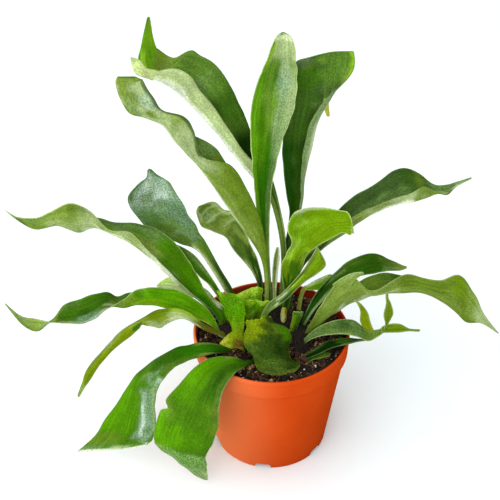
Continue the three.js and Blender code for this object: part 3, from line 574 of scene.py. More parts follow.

# Palette of the foliage: red, green and blue of the bare surface as on a screen, and how much felt is on it.
# The tones are partly the leaves' own colour and partly painted light and shade: the darkest, such as ink and
# shade_olive, stand for painted shade, and pale ones such as frost, silver and white partly for a painted
# sheen.
PALETTE = {
    "ink": (10, 38, 4, 0.0),
    "deep": (24, 62, 5, 0.0),
    "forest": (42, 80, 8, 0.05),
    "leaf": (60, 102, 10, 0.05),
    "grass": (66, 116, 4, 0.0),
    "vivid": (78, 134, 4, 0.0),
    "fresh": (90, 144, 16, 0.0),
    "emerald": (36, 96, 3, 0.0),
    "lime": (116, 158, 20, 0.0),
    "yellow_lime": (158, 196, 60, 0.0),
    "shade_olive": (42, 64, 13, 0.05),
    "moss": (68, 94, 28, 0.1),
    "olive": (88, 112, 28, 0.05),
    "olive_pale": (110, 132, 54, 0.1),
    "fern": (80, 115, 36, 0.2),
    "meadow": (98, 134, 42, 0.1),
    "olive_lime": (90, 116, 10, 0.0),
    "lime_olive": (98, 132, 7, 0.0),
    "sage_dark": (54, 78, 32, 0.2),
    "sage": (86, 114, 56, 0.3),
    "sage_pale": (114, 138, 88, 0.4),
    "slate": (94, 124, 88, 0.5),
    "frost": (132, 156, 130, 0.6),
    "silver": (170, 190, 172, 0.5),
    "felt_green": (98, 136, 64, 0.9),
    "celadon": (144, 161, 108, 0.1),
    "pale": (162, 182, 118, 0.1),
    "cream": (180, 193, 148, 0.1),
    "butter": (196, 212, 140, 0.1),
    "white": (216, 224, 196, 0.1),
    "yellow_olive": (104, 122, 8, 0.0),
    "yellow": (158, 160, 52, 0.0),
    "ochre": (136, 112, 34, 0.0),
    "brown": (84, 58, 26, 0.0),
}

# How each frond is coloured: the tone of its margin, and for its upper and its under face a tone with soft
# strokes on top. A stroke is a tone, from station to station, from one side to the other across the blade (-1
# is the left edge and 1 the right one), strength and, where its borders are crisper, sharpness. rim is how
# strongly the margin's tone shows. bays bulge or notch the margin: side, station, spread in stations,
# millimetres outward. lobe_paint is what differs on a lobe, numbered from 1. The strokes are partly the
# fronds' own colour and partly painted light and shade: dark strokes stand for shade at the bases and between
# fronds, pale ones for painted sheen and for light shining through the blade.
PAINT = {
    "frond_tall_centre": {"margin": "pale", "upper": ("leaf", [
        # Painted light: the yellow-green strokes along the left edge stand for light shining through the
        # blade, and the pale grey strokes on the right half partly for a painted sheen.
        ("emerald", 2.4, 4.6, -0.6, 0.6, 0.8),
        ("grass", 4.6, 6.4, -0.6, 0, 0.7),
        ("fresh", 2.6, 6.6, -1.2, -0.6, 0.95),
        ("olive_pale", 0, 2.6, 0.5, 1.2, 0.6),
        ("sage", 2.6, 4.6, 0.55, 1.2, 0.9),
        ("meadow", 5.4, 6.6, -0.25, 0.3, 0.9),
        ("sage_pale", 4.6, 7, 0.5, 1.2, 0.9),
        ("sage_pale", 5.5, 7, 0.2, 0.6, 0.9),
        ("celadon", 5.7, 7.5, 0.6, 1.2, 0.6),
        ("frost", 6.5, 8.2, 0.05, 0.6, 0.45),
        ("celadon", 7.4, 9.5, -0.7, 1.2, 0.85),
        ("meadow", 6.3, 7.6, -0.6, -0.1, 0.7),
        ("fresh", 6.4, 7.5, -1.2, -0.65, 0.8),
        ("yellow_lime", 7.5, 8.5, -1.2, -0.6, 0.5),
        ("cream", 8.6, 9.5, -1.2, 1.2, 0.95),
    ]), "under": ("sage_pale", [])},
    "frond_tall_right": {"margin": "sage", "upper": ("sage_dark", [
        ("deep", 2, 5.6, -1.2, -0.6, 0.95),
        ("forest", 2.4, 5.6, -0.6, 0.3, 0.8),
        ("leaf", 5.5, 7.5, -1.2, -0.2, 0.4),
        ("sage", 6.5, 7.5, -0.2, 0.2, 0.9),
        ("sage_pale", 6.5, 7.5, 0.2, 0.6, 1.0),
        ("celadon", 6.4, 7.5, 0.6, 1.2, 0.9),
        ("leaf", 7.5, 8.5, -1.2, -0.1, 0.7),
        ("fern", 7.5, 10.5, -0.1, 1.2, 0.95),
        ("olive_pale", 7.5, 8.6, 0.65, 1.2, 0.6),
        ("meadow", 8.6, 10.5, -0.6, -0.1, 0.8),
        ("sage_pale", 8.7, 10.5, -1.2, -0.65, 0.6),
        ("celadon", 2, 5.3, 0.6, 1.2, 0.6),
        ("lime", 8, 10.5, 0.84, 1.2, 0.8, 3),
    ]), "under": ("celadon", [
        ("cream", 3.6, 8.4, -0.3, 0.65, 0.95),
        ("sage_pale", 3.6, 8.4, 0.65, 1.2, 0.9),
    ]), "lobe_paint": {
        1: {"upper": ("yellow", [("lime", 0.5, 3, -1.2, 0, 0.6)]), "under": ("yellow", [])},
    }},
    "frond_tall_left": {"margin": "sage_dark", "rim": 0.45, "upper": ("fern", [
        ("olive_pale", 0.5, 2.5, -1.2, 0.2, 0.8),
        ("olive", 0.5, 1.5, -0.6, 0.6, 0.6),
        ("pale", 0.6, 1.6, 0.65, 1.2, 0.8),
        ("shade_olive", 1.6, 2.6, 0.2, 0.6, 0.8),
        ("ink", 2.6, 4.6, -1.2, 1.2, 0.95),
        ("forest", 4.6, 5.5, -1.2, 1.2, 0.7),
        ("olive", 5.5, 7.5, -1.2, -0.2, 0.4),
        ("sage_pale", 5.6, 6.7, 0.2, 0.7, 0.4),
        ("olive_pale", 8.5, 10.4, -1.2, 1.2, 0.8),
        ("olive_lime", 9.6, 10.4, 0.4, 1.2, 0.6),
        ("fresh", 10.4, 14, -1.2, 1.2, 0.95),
        ("yellow_lime", 10.5, 11.5, -0.6, 0.1, 0.6),
        ("grass", 10.5, 11.6, -1.2, -0.65, 0.9),
        ("leaf", 11.5, 12.6, -1.2, -0.6, 0.9),
        ("lime", 11.5, 14, 0.2, 1.2, 0.9),
    ]), "under": ("cream", [
        ("white", 2.5, 9.6, -0.6, 0.3, 0.95),
        ("pale", 2.5, 9.6, -1.2, -0.6, 0.85),
        ("olive_pale", 0, 2.4, -1.2, 1.2, 0.7),
        ("pale", 9.6, 14, -1.2, 1.2, 0.7),
    ]), "lobe_paint": {
        1: {
            "margin": "lime",
            "upper": ("butter", [("celadon", 2.6, 5, -1.2, 0, 0.6)]),
            "under": ("butter", [("celadon", 2.6, 5, -1.2, 0, 0.6)]),
        },
    }},
    "frond_arching_left": {"margin": "leaf", "rim": 0.5, "under": ("olive", [
        ("olive_pale", 0, 1.6, -1.2, 0.6, 0.9),
        ("olive_pale", 2.5, 5.5, -0.6, -0.2, 0.9),
        ("celadon", 2.5, 3.6, -0.2, 0.6, 0.9),
        ("cream", 3.5, 8.5, -0.2, 0.6, 0.9),
        ("celadon", 5.5, 7.6, -1.2, -0.2, 0.95),
        ("olive_pale", 7.5, 8.5, -1.2, -0.6, 0.9),
        ("celadon", 7.5, 9.6, -0.6, -0.2, 0.95),
        ("celadon", 8.5, 11.5, -1.2, -0.6, 1.0),
        ("celadon", 8.5, 9.6, -0.2, 0.6, 0.9),
        ("frost", 9.5, 10.5, -1.2, -0.6, 0.6),
        ("sage_pale", 9.5, 10.5, -0.6, -0.2, 0.8),
        ("olive_pale", 9.5, 10.6, -0.2, 0.6, 0.8),
        ("olive_pale", 10.5, 12.6, -0.6, -0.2, 0.6),
        ("celadon", 10.6, 12.4, -0.2, 0.6, 0.8),
        ("olive_pale", 11.6, 12.6, -1.2, -0.6, 0.8),
        ("moss", 12.6, 14, -1.2, 1.2, 0.8),
        ("shade_olive", 6, 12, -1.2, -0.93, 0.8, 3),
    ]), "upper": ("moss", [
        ("olive", 4.4, 5.5, 0.4, 1.2, 0.8),
        ("sage", 5.5, 6.8, 0.1, 1.2, 0.7),
    ])},
    "frond_left_upper": {"margin": "pale", "upper": ("grass", [
        ("emerald", 1.2, 2.6, -1.2, 0.6, 0.8),
        ("deep", 2.5, 3.5, -0.6, 0.2, 0.8),
        ("sage_pale", 3.5, 4.6, -0.6, 0.2, 0.9),
        ("leaf", 3.5, 4.6, 0.2, 1.2, 0.8),
        ("pale", 4.5, 5.6, -1.2, 0.2, 0.9),
        ("olive_pale", 4.5, 6.6, 0, 0.6, 0.9),
        ("sage", 4.6, 9, 0.6, 1.2, 0.9),
        ("olive", 6.5, 7.5, -0.2, 0.6, 0.8),
        ("sage", 7.5, 9, -1.2, 0.7, 0.8),
        ("white", 12.2, 14, -1.2, 1.2, 0.6),
    ]), "under": ("olive_pale", [
        ("lime", 0.6, 2.6, -1.2, 0.6, 0.9),
        ("pale", 2.6, 3.6, -1.2, 0.6, 0.8),
        ("white", 3.5, 4.6, -1.2, 0.6, 0.85),
        ("cream", 4.5, 7.6, -0.6, 0.6, 0.95),
        ("cream", 4.5, 5.5, -1.2, -0.6, 0.9),
        ("celadon", 5.6, 8.5, -1.2, -0.6, 0.7),
        ("celadon", 7.5, 8.5, -0.6, -0.2, 0.9),
        ("cream", 7.5, 8.5, -0.2, 0.6, 0.9),
        ("olive", 8.5, 9.5, -1.2, -0.6, 0.9),
        ("celadon", 8.5, 10.5, -0.6, 0.6, 0.5),
        ("olive", 10.5, 11.5, -0.6, -0.2, 0.6),
        ("sage", 10.5, 12.4, -1.2, -0.6, 0.5),
        ("shade_olive", 11.6, 12.6, -0.6, 0.6, 0.7),
        ("celadon", 12.4, 14, -1.2, 0.6, 0.8),
    ])},
    "frond_left_inner": {"margin": "celadon", "upper": ("leaf", [
        ("olive", 0.4, 2.5, -1.2, -0.6, 0.9),
        ("forest", 0.4, 2.5, -0.6, 0.6, 0.7),
        ("emerald", 2.5, 3.6, -0.3, 0.2, 0.8),
        ("olive", 2.6, 3.6, 0.2, 0.6, 0.6),
        ("sage", 1.5, 5.5, 0.6, 1.2, 0.9),
    ]), "under": ("olive", [])},
    "frond_left_silvery": {"margin": "leaf", "rim": 0.35, "upper": ("sage", [
        ("cream", 0, 3.5, -1.2, -0.6, 1.0),
        ("celadon", 1.5, 2.6, -0.6, -0.2, 0.9),
        ("olive_pale", 2.5, 3.5, -0.6, -0.2, 0.9),
        ("olive", 0, 3.5, -0.2, 0.2, 0.8),
        ("shade_olive", 0, 2.5, 0.2, 1.2, 0.95),
        ("leaf", 2.5, 3.5, 0.2, 1.2, 0.8),
        ("moss", 3.5, 4.6, -1.2, -0.2, 0.9),
        ("slate", 3.5, 4.5, -0.2, 0.6, 0.6),
        ("moss", 4.6, 5.5, -0.6, -0.2, 0.7),
        ("slate", 4.5, 6.6, 0.2, 1.2, 1.0),
        ("slate", 5.5, 6.6, -1.2, 0.2, 0.5),
        # Partly felt and partly painted sheen: the frost and silver strokes; the cream stroke at the end is a
        # painted highlight.
        ("frost", 6.5, 9.5, -1.2, 1.2, 1.0),
        ("silver", 6.6, 7.5, 0.2, 0.6, 0.7),
        ("silver", 7.5, 9.5, -0.6, -0.1, 0.95),
        ("slate", 7.6, 8.6, -1.2, -0.65, 0.7),
        ("slate", 8.6, 10.5, 0.2, 0.6, 0.8),
        ("forest", 8.5, 10.5, 0.6, 1.2, 0.8),
        ("moss", 6.9, 8.1, -1.2, -0.8, 0.75, 2),
        ("leaf", 5.2, 6.3, -0.75, -0.1, 0.5, 1.5),
        ("sage", 6.6, 7.3, -0.4, 0.05, 0.6, 2),
        ("sage", 6.6, 8.2, 0.85, 1.2, 0.7, 2),
        ("cream", 7.7, 8.4, -0.4, 0, 0.4, 1.5),
    ]), "under": ("olive", [])},
    "frond_back_left": {"margin": "celadon", "upper": ("olive_pale", [
        ("ink", 0, 1.6, -1.2, 1.2, 0.95),
        ("deep", 1.5, 2.5, -0.2, 1.2, 0.95),
        ("moss", 1.5, 2.5, -0.6, -0.2, 0.9),
        ("celadon", 1.5, 2.5, -1.2, -0.65, 0.9),
        ("moss", 2.5, 3.6, -1.2, 0.6, 0.9),
        ("shade_olive", 2.5, 3.0, 0.2, 1.2, 0.8),
        # Painted shade and highlight: thin dark moss bands and crisp pale celadon lines across the blade
        # stand for the shading of its waves and folds.
        ("moss", 4.0, 4.3, -0.9, 0.9, 0.75),
        ("moss", 5.1, 5.35, -0.9, 0.9, 0.8),
        ("moss", 6.2, 6.45, -0.8, 0.6, 0.75),
        ("cream", 4.6, 5.5, 0.7, 1.2, 0.8),
        ("sage_pale", 5.5, 6.5, -0.6, 0.2, 0.7),
        ("olive", 5.6, 8.5, 0.2, 0.65, 0.7),
        ("olive", 6.6, 8.5, -0.2, 0.2, 0.7),
        ("celadon", 5.5, 8.5, 0.65, 1.2, 0.7),
        ("pale", 6.6, 8.5, -1.2, -0.65, 0.95),
        ("moss", 7.0, 7.3, -0.7, 0.6, 0.7),
        ("celadon", 6.6, 6.8, -0.9, 0.8, 0.85, 3),
        ("celadon", 5.55, 5.75, -0.7, 0.9, 0.8, 3),
        ("celadon", 4.55, 4.75, -0.2, 0.9, 0.7, 3),
    ]), "under": ("olive", [])},
    "frond_left_twisted": {"margin": "celadon", "under": ("vivid", [
        ("fresh", 0, 3.6, -0.6, -0.2, 0.8),
        ("yellow_lime", 0, 2.6, -0.2, 0.6, 0.95),
        ("lime", 2.5, 4.6, -0.2, 0.6, 0.9),
        ("grass", 3.5, 4.6, -1.2, -0.6, 0.9),
        ("lime_olive", 3.5, 5.5, -0.6, -0.2, 0.9),
        ("leaf", 4.6, 5.5, -1.2, -0.6, 0.95),
        ("olive_pale", 4.6, 5.5, -0.2, 0.6, 0.8),
        ("olive", 5.5, 6.6, -1.2, 1.2, 0.9),
        ("sage", 6.5, 9, -1.2, 1.2, 0.9),
        ("olive_pale", 9, 14, -1.2, 1.2, 1.0),
        ("sage_pale", 9.4, 10.6, -1.2, 0.2, 0.8),
        ("olive", 10.5, 11.6, -0.2, 0.6, 0.9),
        ("sage_pale", 11.5, 12.6, -1.2, -0.6, 0.7),
        ("olive", 11.5, 12.6, -0.6, -0.2, 0.7),
        ("shade_olive", 11.6, 14, -0.2, 1.2, 0.8),
    ]), "upper": ("forest", [
        ("celadon", 5, 6.5, -1.2, 0.2, 0.8),
        ("olive", 5.5, 6.5, 0.2, 0.6, 0.8),
        ("moss", 5.5, 6.6, 0.6, 1.2, 0.7),
        ("frost", 6.5, 8.5, -1.2, -0.6, 0.9),
        ("moss", 6.5, 7.5, -0.6, -0.2, 0.9),
        ("slate", 7.5, 8.5, -0.6, -0.2, 0.9),
        ("sage_pale", 8.5, 9.6, -1.2, -0.6, 0.9),
        ("moss", 8.5, 9.5, -0.6, -0.2, 0.9),
        ("leaf", 7.5, 9.5, 0.2, 1.2, 0.7),
        ("sage", 8.6, 9.6, 0.6, 1.2, 0.7),
        ("olive_pale", 9.5, 11, -1.2, 1.2, 0.8),
    ])},
    "frond_left_drooping": {"margin": "celadon", "upper": ("yellow_olive", [
        ("brown", 0, 2.4, -1.2, 1.2, 0.6),
        ("cream", 2.4, 3.5, -1.2, -0.6, 0.9),
        ("pale", 2.4, 3.5, -0.6, 0.2, 0.9),
        ("yellow_lime", 2.4, 3.5, 0.2, 1.2, 0.85),
        ("celadon", 3.5, 4.6, -1.2, -0.6, 0.9),
        ("olive", 3.5, 4.6, -0.6, -0.2, 0.6),
        ("olive_lime", 3.5, 4.6, -0.2, 1.2, 0.9),
        ("olive_pale", 4.6, 5.5, -1.2, 0.2, 0.5),
        ("olive", 4.6, 5.5, 0.2, 1.2, 0.9),
        ("olive_pale", 5.5, 6.5, 0, 1.2, 0.8),
        ("olive_pale", 6.5, 7.5, -0.2, 0.2, 0.8),
        ("sage_pale", 6.5, 7.5, 0.2, 0.6, 0.8),
        ("celadon", 6.5, 7.5, 0.6, 1.2, 0.9),
        ("olive", 7.5, 8.5, -0.2, 0.2, 0.7),
        ("sage", 7.5, 8.6, 0.2, 0.6, 0.8),
        ("slate", 7.5, 8.6, 0.6, 1.2, 0.9),
        ("olive_lime", 8.5, 9.6, -1.2, 0.2, 0.7),
        ("sage", 8.6, 9.6, 0.3, 1.2, 0.6),
        ("olive_pale", 9.6, 11.5, -1.2, 0.2, 0.9),
        ("celadon", 9.6, 10.6, -1.2, -0.6, 0.6),
        ("sage", 9.6, 11.5, 0.2, 1.2, 0.7),
        ("forest", 4.85, 5.5, -1.2, -0.4, 0.9, 3),
    ]), "under": ("olive_pale", []), "bays": [("left", 4.05, 0.25, 2.5), ("left", 4.95, 0.16, -3)]},
    "frond_front_left": {"margin": "sage", "rim": 0.5, "upper": ("leaf", [
        ("olive_pale", 0.6, 2.5, -1.2, -0.65, 0.9),
        ("emerald", 1.4, 3.5, -0.6, 1.2, 0.85),
        ("olive_pale", 1.4, 2.5, 0.7, 1.2, 0.7),
        ("forest", 3.4, 4.7, -0.6, 0.6, 0.9),
        ("moss", 2.6, 4.6, -1.2, -0.6, 0.8),
        ("deep", 3.5, 4.6, 0.6, 1.2, 0.9),
        ("frost", 4.7, 5.5, -1.2, -0.6, 0.85),
        ("slate", 4.7, 5.5, -0.6, -0.2, 0.95),
        ("sage", 4.7, 5.5, -0.2, 0.2, 0.9),
        ("forest", 4.7, 5.5, 0.6, 1.2, 0.8),
        ("slate", 5.5, 9.1, -1.2, -0.2, 0.9),
        ("sage_pale", 5.5, 8.6, -1.2, -0.65, 0.8),
        ("grass", 5.5, 8.8, 0.2, 1.2, 0.85),
        ("vivid", 5.6, 8.6, 0.65, 1.2, 0.6),
        # Painted highlight: the frost and silver streak down the middle.
        ("frost", 6.2, 9.2, -0.3, 0.08, 0.6),
        ("silver", 6.8, 8.8, -0.14, 0.03, 0.6, 2),
        ("moss", 8.6, 9.5, -1.2, -0.65, 0.8),
        ("olive", 8.8, 9.6, 0.6, 1.2, 0.6),
        ("frost", 9.5, 10.5, -1.2, -0.2, 0.9),
        ("sage", 9.5, 10.5, -0.2, 0.2, 0.8),
        ("celadon", 9.5, 10.5, 0.2, 0.65, 0.9),
        ("sage_pale", 9.5, 10.5, 0.65, 1.2, 0.9),
        # Painted highlight: the white band at the curled tip.
        ("white", 9.88, 10.5, -1.2, 1.2, 0.8, 4),
    ]), "under": ("olive_pale", [])},
    "frond_front_pot": {"margin": "celadon", "rim": 0.5, "upper": ("leaf", [
        ("forest", 0, 1.6, -1.2, 1.2, 0.8),
        ("forest", 1.4, 4.5, -0.65, 0.15, 0.75),
        ("deep", 2.6, 3.5, -0.6, -0.2, 0.6),
        ("grass", 1.6, 5.5, 0.2, 1.2, 0.9),
        ("vivid", 2.6, 4.5, 0.65, 1.2, 0.6),
        ("olive_pale", 1.5, 2.4, 0.7, 1.2, 0.6),
        ("moss", 2.6, 5.6, -1.2, -0.65, 0.85),
        ("sage", 3.6, 4.4, -1.2, -0.75, 0.5),
        ("olive", 4.6, 5.5, -1.2, -0.3, 0.5),
        ("olive", 5.5, 6.5, -1.2, -0.65, 0.6),
        ("olive_pale", 5.7, 6.4, 0.7, 1.2, 0.5),
        ("grass", 6.4, 8.2, -0.6, 0.2, 0.7),
        ("vivid", 6.4, 8.2, 0.2, 1.2, 0.8),
        # Partly felt and partly painted light: the pale end past the fold, with a crisp border at the fold.
        ("felt_green", 8.1, 10.5, -1.2, 1.2, 0.95, 3),
        ("olive_pale", 8.1, 8.8, 0.6, 1.2, 0.5),
        ("sage_pale", 9.5, 10.5, -1.2, 1.2, 0.8),
        ("celadon", 9.6, 10.5, -1.2, -0.6, 0.7),
    ]), "under": ("olive_pale", []), "bays": [("right", 6.05, 0.12, -6)]},
    "frond_right_upper": {"margin": "sage_pale", "rim": 0.5, "upper": ("sage_dark", [
        ("olive_pale", 2.2, 3.4, -0.7, -0.2, 0.7),
        ("shade_olive", 3.5, 4.6, -1.2, 1.2, 0.9),
        ("sage", 4.6, 8.6, -0.6, 0.4, 0.55),
        ("forest", 7.6, 8.5, -1.2, -0.6, 0.5),
        ("olive", 8.5, 9.5, -1.2, 1.2, 0.6),
        ("sage", 9.5, 11.2, -1.2, 0.2, 0.9),
        ("sage_pale", 11.6, 14, -1.2, 1.2, 0.9),
    ]), "under": ("celadon", [
        ("olive_lime", 2, 3.5, -1.2, 1.2, 0.9),
        ("pale", 3.5, 4.5, -1.2, 0.6, 0.8),
        ("olive_pale", 3.5, 4.5, 0.6, 1.2, 0.6),
        ("olive_pale", 4.5, 5.5, -1.2, 1.2, 0.9),
        ("cream", 5.5, 6.6, -1.2, 0.6, 0.9),
        ("olive_pale", 5.5, 6.6, 0.6, 1.2, 0.8),
        ("white", 6.5, 8.6, -1.2, 0.6, 0.9),
        ("olive_pale", 8.5, 9.5, -1.2, 0.6, 0.9),
        ("olive", 8.5, 10.5, 0.5, 1.2, 0.9),
        ("olive", 9.5, 10.5, -1.2, 0.6, 0.9),
        ("shade_olive", 10.5, 11.5, -1.2, 0.6, 0.9),
        ("moss", 10.5, 11.5, 0.6, 1.2, 0.9),
        ("sage", 11.5, 12.8, -1.2, 0.6, 0.8),
        ("cream", 11.6, 12.8, 0.65, 1.2, 0.8),
    ])},
    "frond_young_wide": {"margin": "pale", "upper": ("lime", [
        ("deep", 0, 1.6, -1.2, 1.2, 0.95),
        ("olive_lime", 1.5, 2.5, -1.2, -0.2, 0.8),
        ("forest", 1.5, 2.5, -0.2, 1.2, 0.9),
        ("yellow_lime", 2.5, 4.5, -1.2, -0.2, 1.0),
        ("olive_lime", 2.5, 3.5, 0.2, 0.65, 0.9),
        ("olive", 2.5, 3.5, 0.65, 1.2, 0.8),
        ("lime_olive", 3.5, 9.5, 0.2, 1.2, 0.95),
        ("olive_lime", 3.5, 4.5, 0.5, 1.2, 0.6),
        ("yellow_lime", 5.6, 6.5, -0.6, -0.2, 0.6),
        ("lime_olive", 6.6, 9.8, -0.7, 0.3, 0.9),
        ("cream", 6.6, 7.5, -1.2, -0.7, 0.95),
        ("celadon", 7.5, 8.6, -1.2, -0.7, 0.8),
        ("celadon", 8.7, 9.8, 0.7, 1.2, 0.8),
    ]), "under": ("olive_pale", [])},
    "frond_young_narrow": {"margin": "celadon", "upper": ("olive_lime", [
        ("sage", 0, 3.4, -1.2, 0.2, 0.9),
        ("cream", 1.5, 2.5, 0.2, 0.6, 0.9),
        ("cream", 2.5, 3.5, -0.6, -0.2, 0.95),
        ("sage_pale", 2.5, 3.4, -0.2, 0.2, 0.6),
        ("deep", 2.5, 3.5, 0.2, 1.2, 0.95),
        ("shade_olive", 3.5, 4.5, -1.2, -0.65, 0.9),
        ("yellow_lime", 3.5, 4.5, -0.6, -0.2, 0.7),
        ("lime_olive", 3.5, 8, -0.2, 0.2, 0.9),
        ("moss", 3.5, 4.5, 0.6, 1.2, 0.9),
        ("lime", 4.5, 8, -0.65, -0.15, 0.85),
        ("olive_pale", 4.5, 8, -1.2, -0.65, 0.8),
    ]), "under": ("olive_pale", [])},
    "frond_right_dark": {"margin": "sage_pale", "upper": ("forest", [
        ("deep", 1, 3.5, -1.2, 1.2, 0.95),
        ("sage_dark", 2.5, 3.5, -1.2, -0.65, 0.7),
        ("sage_pale", 1.5, 3.5, 0.65, 1.2, 0.8),
        ("sage", 3.5, 4.5, -1.2, -0.2, 0.85),
        ("deep", 3.5, 4.5, 0.2, 0.7, 0.7),
        ("moss", 4.5, 5.5, -1.2, -0.3, 0.5),
        ("moss", 6.5, 7.5, -1.2, 0.2, 0.9),
        ("sage", 6.6, 7.6, 0.2, 1.2, 0.85),
        ("olive_pale", 7.5, 9.5, -1.2, 1.2, 0.9),
    ]), "under": ("olive", [
        ("yellow_lime", 0.6, 2.6, -1.2, 1.2, 0.6),
    ])},
    "frond_right_long": {"margin": "celadon", "rim": 0.5, "under": ("olive", [
        ("olive_pale", 2.6, 7.6, 0.2, 1.2, 0.8),
        ("cream", 3.5, 5.6, -0.4, 0.2, 0.9),
        ("celadon", 5.5, 6.6, -0.4, 0.6, 0.9),
        ("celadon", 6.5, 7.5, -0.4, 0.6, 0.6),
        ("olive_pale", 7.6, 11.5, -0.3, 0.55, 0.6),
        ("olive_lime", 10.5, 11.5, 0.6, 1.2, 0.8),
        ("olive_pale", 11.6, 12.6, 0.3, 1.2, 0.8),
        ("celadon", 12.6, 14.5, -1.2, 1.2, 0.8),
    ]), "upper": ("moss", [
        ("olive", 4.5, 6.5, -1.2, 1.2, 0.5),
        ("forest", 7.4, 8.6, -1.2, 0.2, 0.7),
    ]), "lobe_paint": {
        1: {"upper": ("olive_pale", [("celadon", 1, 4, -1.2, -0.3, 0.5)]), "under": ("olive_pale", [])},
    }},
    "frond_right_forked": {"margin": "celadon", "upper": ("sage", [
        ("moss", 2.5, 3.5, -1.2, -0.2, 0.6),
        ("olive_pale", 2.5, 3.5, 0.2, 0.6, 0.8),
        ("celadon", 2.4, 3.5, 0.65, 1.2, 0.85),
        ("sage_dark", 3.5, 4.6, -1.2, 0, 0.9),
        ("moss", 3.5, 4.6, 0, 0.4, 0.7),
        ("olive_pale", 3.6, 4.6, 0.65, 1.2, 0.8),
        ("olive", 5.6, 8.5, -1.2, 1.2, 0.6),
    ]), "under": ("olive_pale", []), "lobe_paint": {
        1: {"upper": ("olive_lime", [("olive_pale", 2, 5, -1.2, -0.4, 0.6)])},
        2: {"upper": ("olive_lime", [("olive_pale", 2.5, 5, -1.2, 1.2, 0.4)])},
        3: {"upper": ("yellow_olive", [("yellow_lime", 2.5, 5, -1.2, 0, 0.3)])},
    }},
    "frond_right_low": {"margin": "sage", "rim": 0.5, "upper": ("ink", [
        ("sage_dark", 1.4, 3.5, -1.2, -0.65, 0.9),
        ("grass", 3.5, 4.5, -1.2, -0.5, 0.8),
        ("leaf", 3.5, 4.5, -0.4, 0.2, 0.8),
        ("shade_olive", 3.5, 4.5, 0.2, 0.65, 0.8),
        ("sage", 3.6, 4.6, 0.65, 1.2, 0.7),
        ("forest", 4.5, 6.5, -1.2, 0.4, 0.9),
        ("olive_pale", 4.6, 6.5, 0.4, 1.2, 0.8),
    ]), "under": ("olive", [])},
    "frond_small_right": {"margin": "pale", "upper": ("fresh", [
        ("yellow", 0, 1.6, -1.2, 1.2, 0.8),
        ("yellow_lime", 1.6, 4.6, -0.6, -0.2, 0.9),
        ("white", 1.6, 4.2, -1.2, -0.6, 0.95),
        ("pale", 3.6, 5.5, -0.2, 1.2, 0.5),
    ]), "under": ("celadon", [])},
    "frond_small_left": {"margin": "yellow_lime", "upper": ("grass", [
        ("cream", 2.6, 3.8, -1.2, 1.2, 0.9),
    ]), "under": ("pale", [])},
    "frond_left_hidden": {"margin": "pale", "upper": ("pale", [
        ("yellow_lime", 3.3, 5.5, 0.3, 1.2, 0.6),
    ]), "under": ("celadon", [])},
    "frond_small_front": {"margin": "olive_pale", "upper": ("moss", [
        ("ink", 0, 1.5, -1.2, 1.2, 0.8),
    ]), "under": ("olive", [])},
    "frond_unrolling": {"margin": "white", "upper": ("olive_pale", [
        ("lime", 0, 1.6, -1.2, 1.2, 0.6),
        ("white", 1.6, 4.5, 0.5, 1.2, 0.8),
    ]), "under": ("olive", [])},
    "frond_bud": {"margin": "yellow", "upper": ("yellow", [
        ("brown", 1.4, 4, 0.4, 1.2, 0.7),
        ("cream", 1.4, 2.6, -1.2, 0.2, 0.5),
    ]), "under": ("ochre", [])},
    "shield_front": {"margin": "lime", "rim": 1.0, "upper": ("shade_olive", [
        ("olive_pale", 0, 0.7, -1.2, 1.2, 0.8),
        ("olive", 0.5, 1.6, -1.2, -0.6, 0.9),
        ("moss", 0.5, 1.6, -0.6, 0.6, 0.6),
        ("moss", 1.5, 3.4, -1.2, -0.6, 0.8),
        ("ink", 2.5, 3.5, 0.2, 0.7, 0.7),
        ("yellow_olive", 3.5, 6.5, -1.2, -0.25, 0.85),
        ("yellow_olive", 4.5, 6.5, -0.5, 0.5, 0.9),
        ("grass", 3.5, 4.6, 0.6, 1.2, 0.7),
        ("olive", 4.5, 5.6, 0.3, 0.7, 0.8),
        ("grass", 4.6, 5.3, 0.65, 1.2, 0.8),
        ("shade_olive", 3.4, 5.6, 0.02, 0.42, 0.75),
    ]), "under": ("olive", []), "bays": [("right", 5.55, 0.2, -6)]},
    "shield_yellow": {"margin": "yellow", "upper": ("yellow_olive", [
        ("shade_olive", 0, 1.5, -1.2, 1.2, 0.8),
        ("ochre", 1.4, 2.5, -1.2, -0.6, 0.8),
        ("brown", 1.4, 2.5, -0.6, 0.2, 0.8),
        ("yellow", 2.5, 4.5, -1.2, -0.6, 1.0),
        ("yellow", 3.4, 4.5, -0.6, 1.2, 0.9),
        ("lime", 2.5, 3.5, 0.6, 1.2, 0.5),
    ]), "under": ("yellow", [])},
    "shield_upright": {"margin": "lime", "upper": ("grass", [
        ("lime", 0, 1.5, -1.2, 1.2, 0.9),
        ("vivid", 1.5, 2.6, 0, 1.2, 0.7),
        ("leaf", 2.5, 3.5, -0.6, 0.2, 0.6),
        ("fresh", 2.5, 3.6, 0.6, 1.2, 0.8),
        ("lime", 3.5, 4.6, -1.2, -0.6, 0.9),
        ("olive_lime", 3.5, 4.6, -0.6, 0.2, 0.7),
        ("lime", 3.5, 4.6, 0.5, 1.2, 0.9),
    ]), "under": ("fresh", [])},
    "shield_back": {"margin": "yellow_lime", "upper": ("lime", [
        ("yellow_lime", 0.5, 1.6, -1.2, -0.6, 0.9),
        ("fresh", 0.4, 1.6, -0.2, 1.2, 0.7),
        ("yellow_lime", 1.5, 3.5, -1.2, 0.6, 0.9),
        ("ochre", 1.7, 2.6, -0.6, -0.3, 0.4),
    ]), "under": ("yellow_lime", [])},
    "shield_middle": {"margin": "yellow_lime", "upper": ("grass", [
        ("lime", 0, 1.5, -1.2, -0.3, 0.9),
        ("olive", 0.4, 1.5, -0.3, 0.2, 0.9),
        ("shade_olive", 0.4, 1.5, 0.2, 0.65, 0.9),
        ("yellow_olive", 0.4, 2.5, 0.65, 1.2, 0.7),
        ("fresh", 2.5, 3.5, -1.2, -0.6, 0.9),
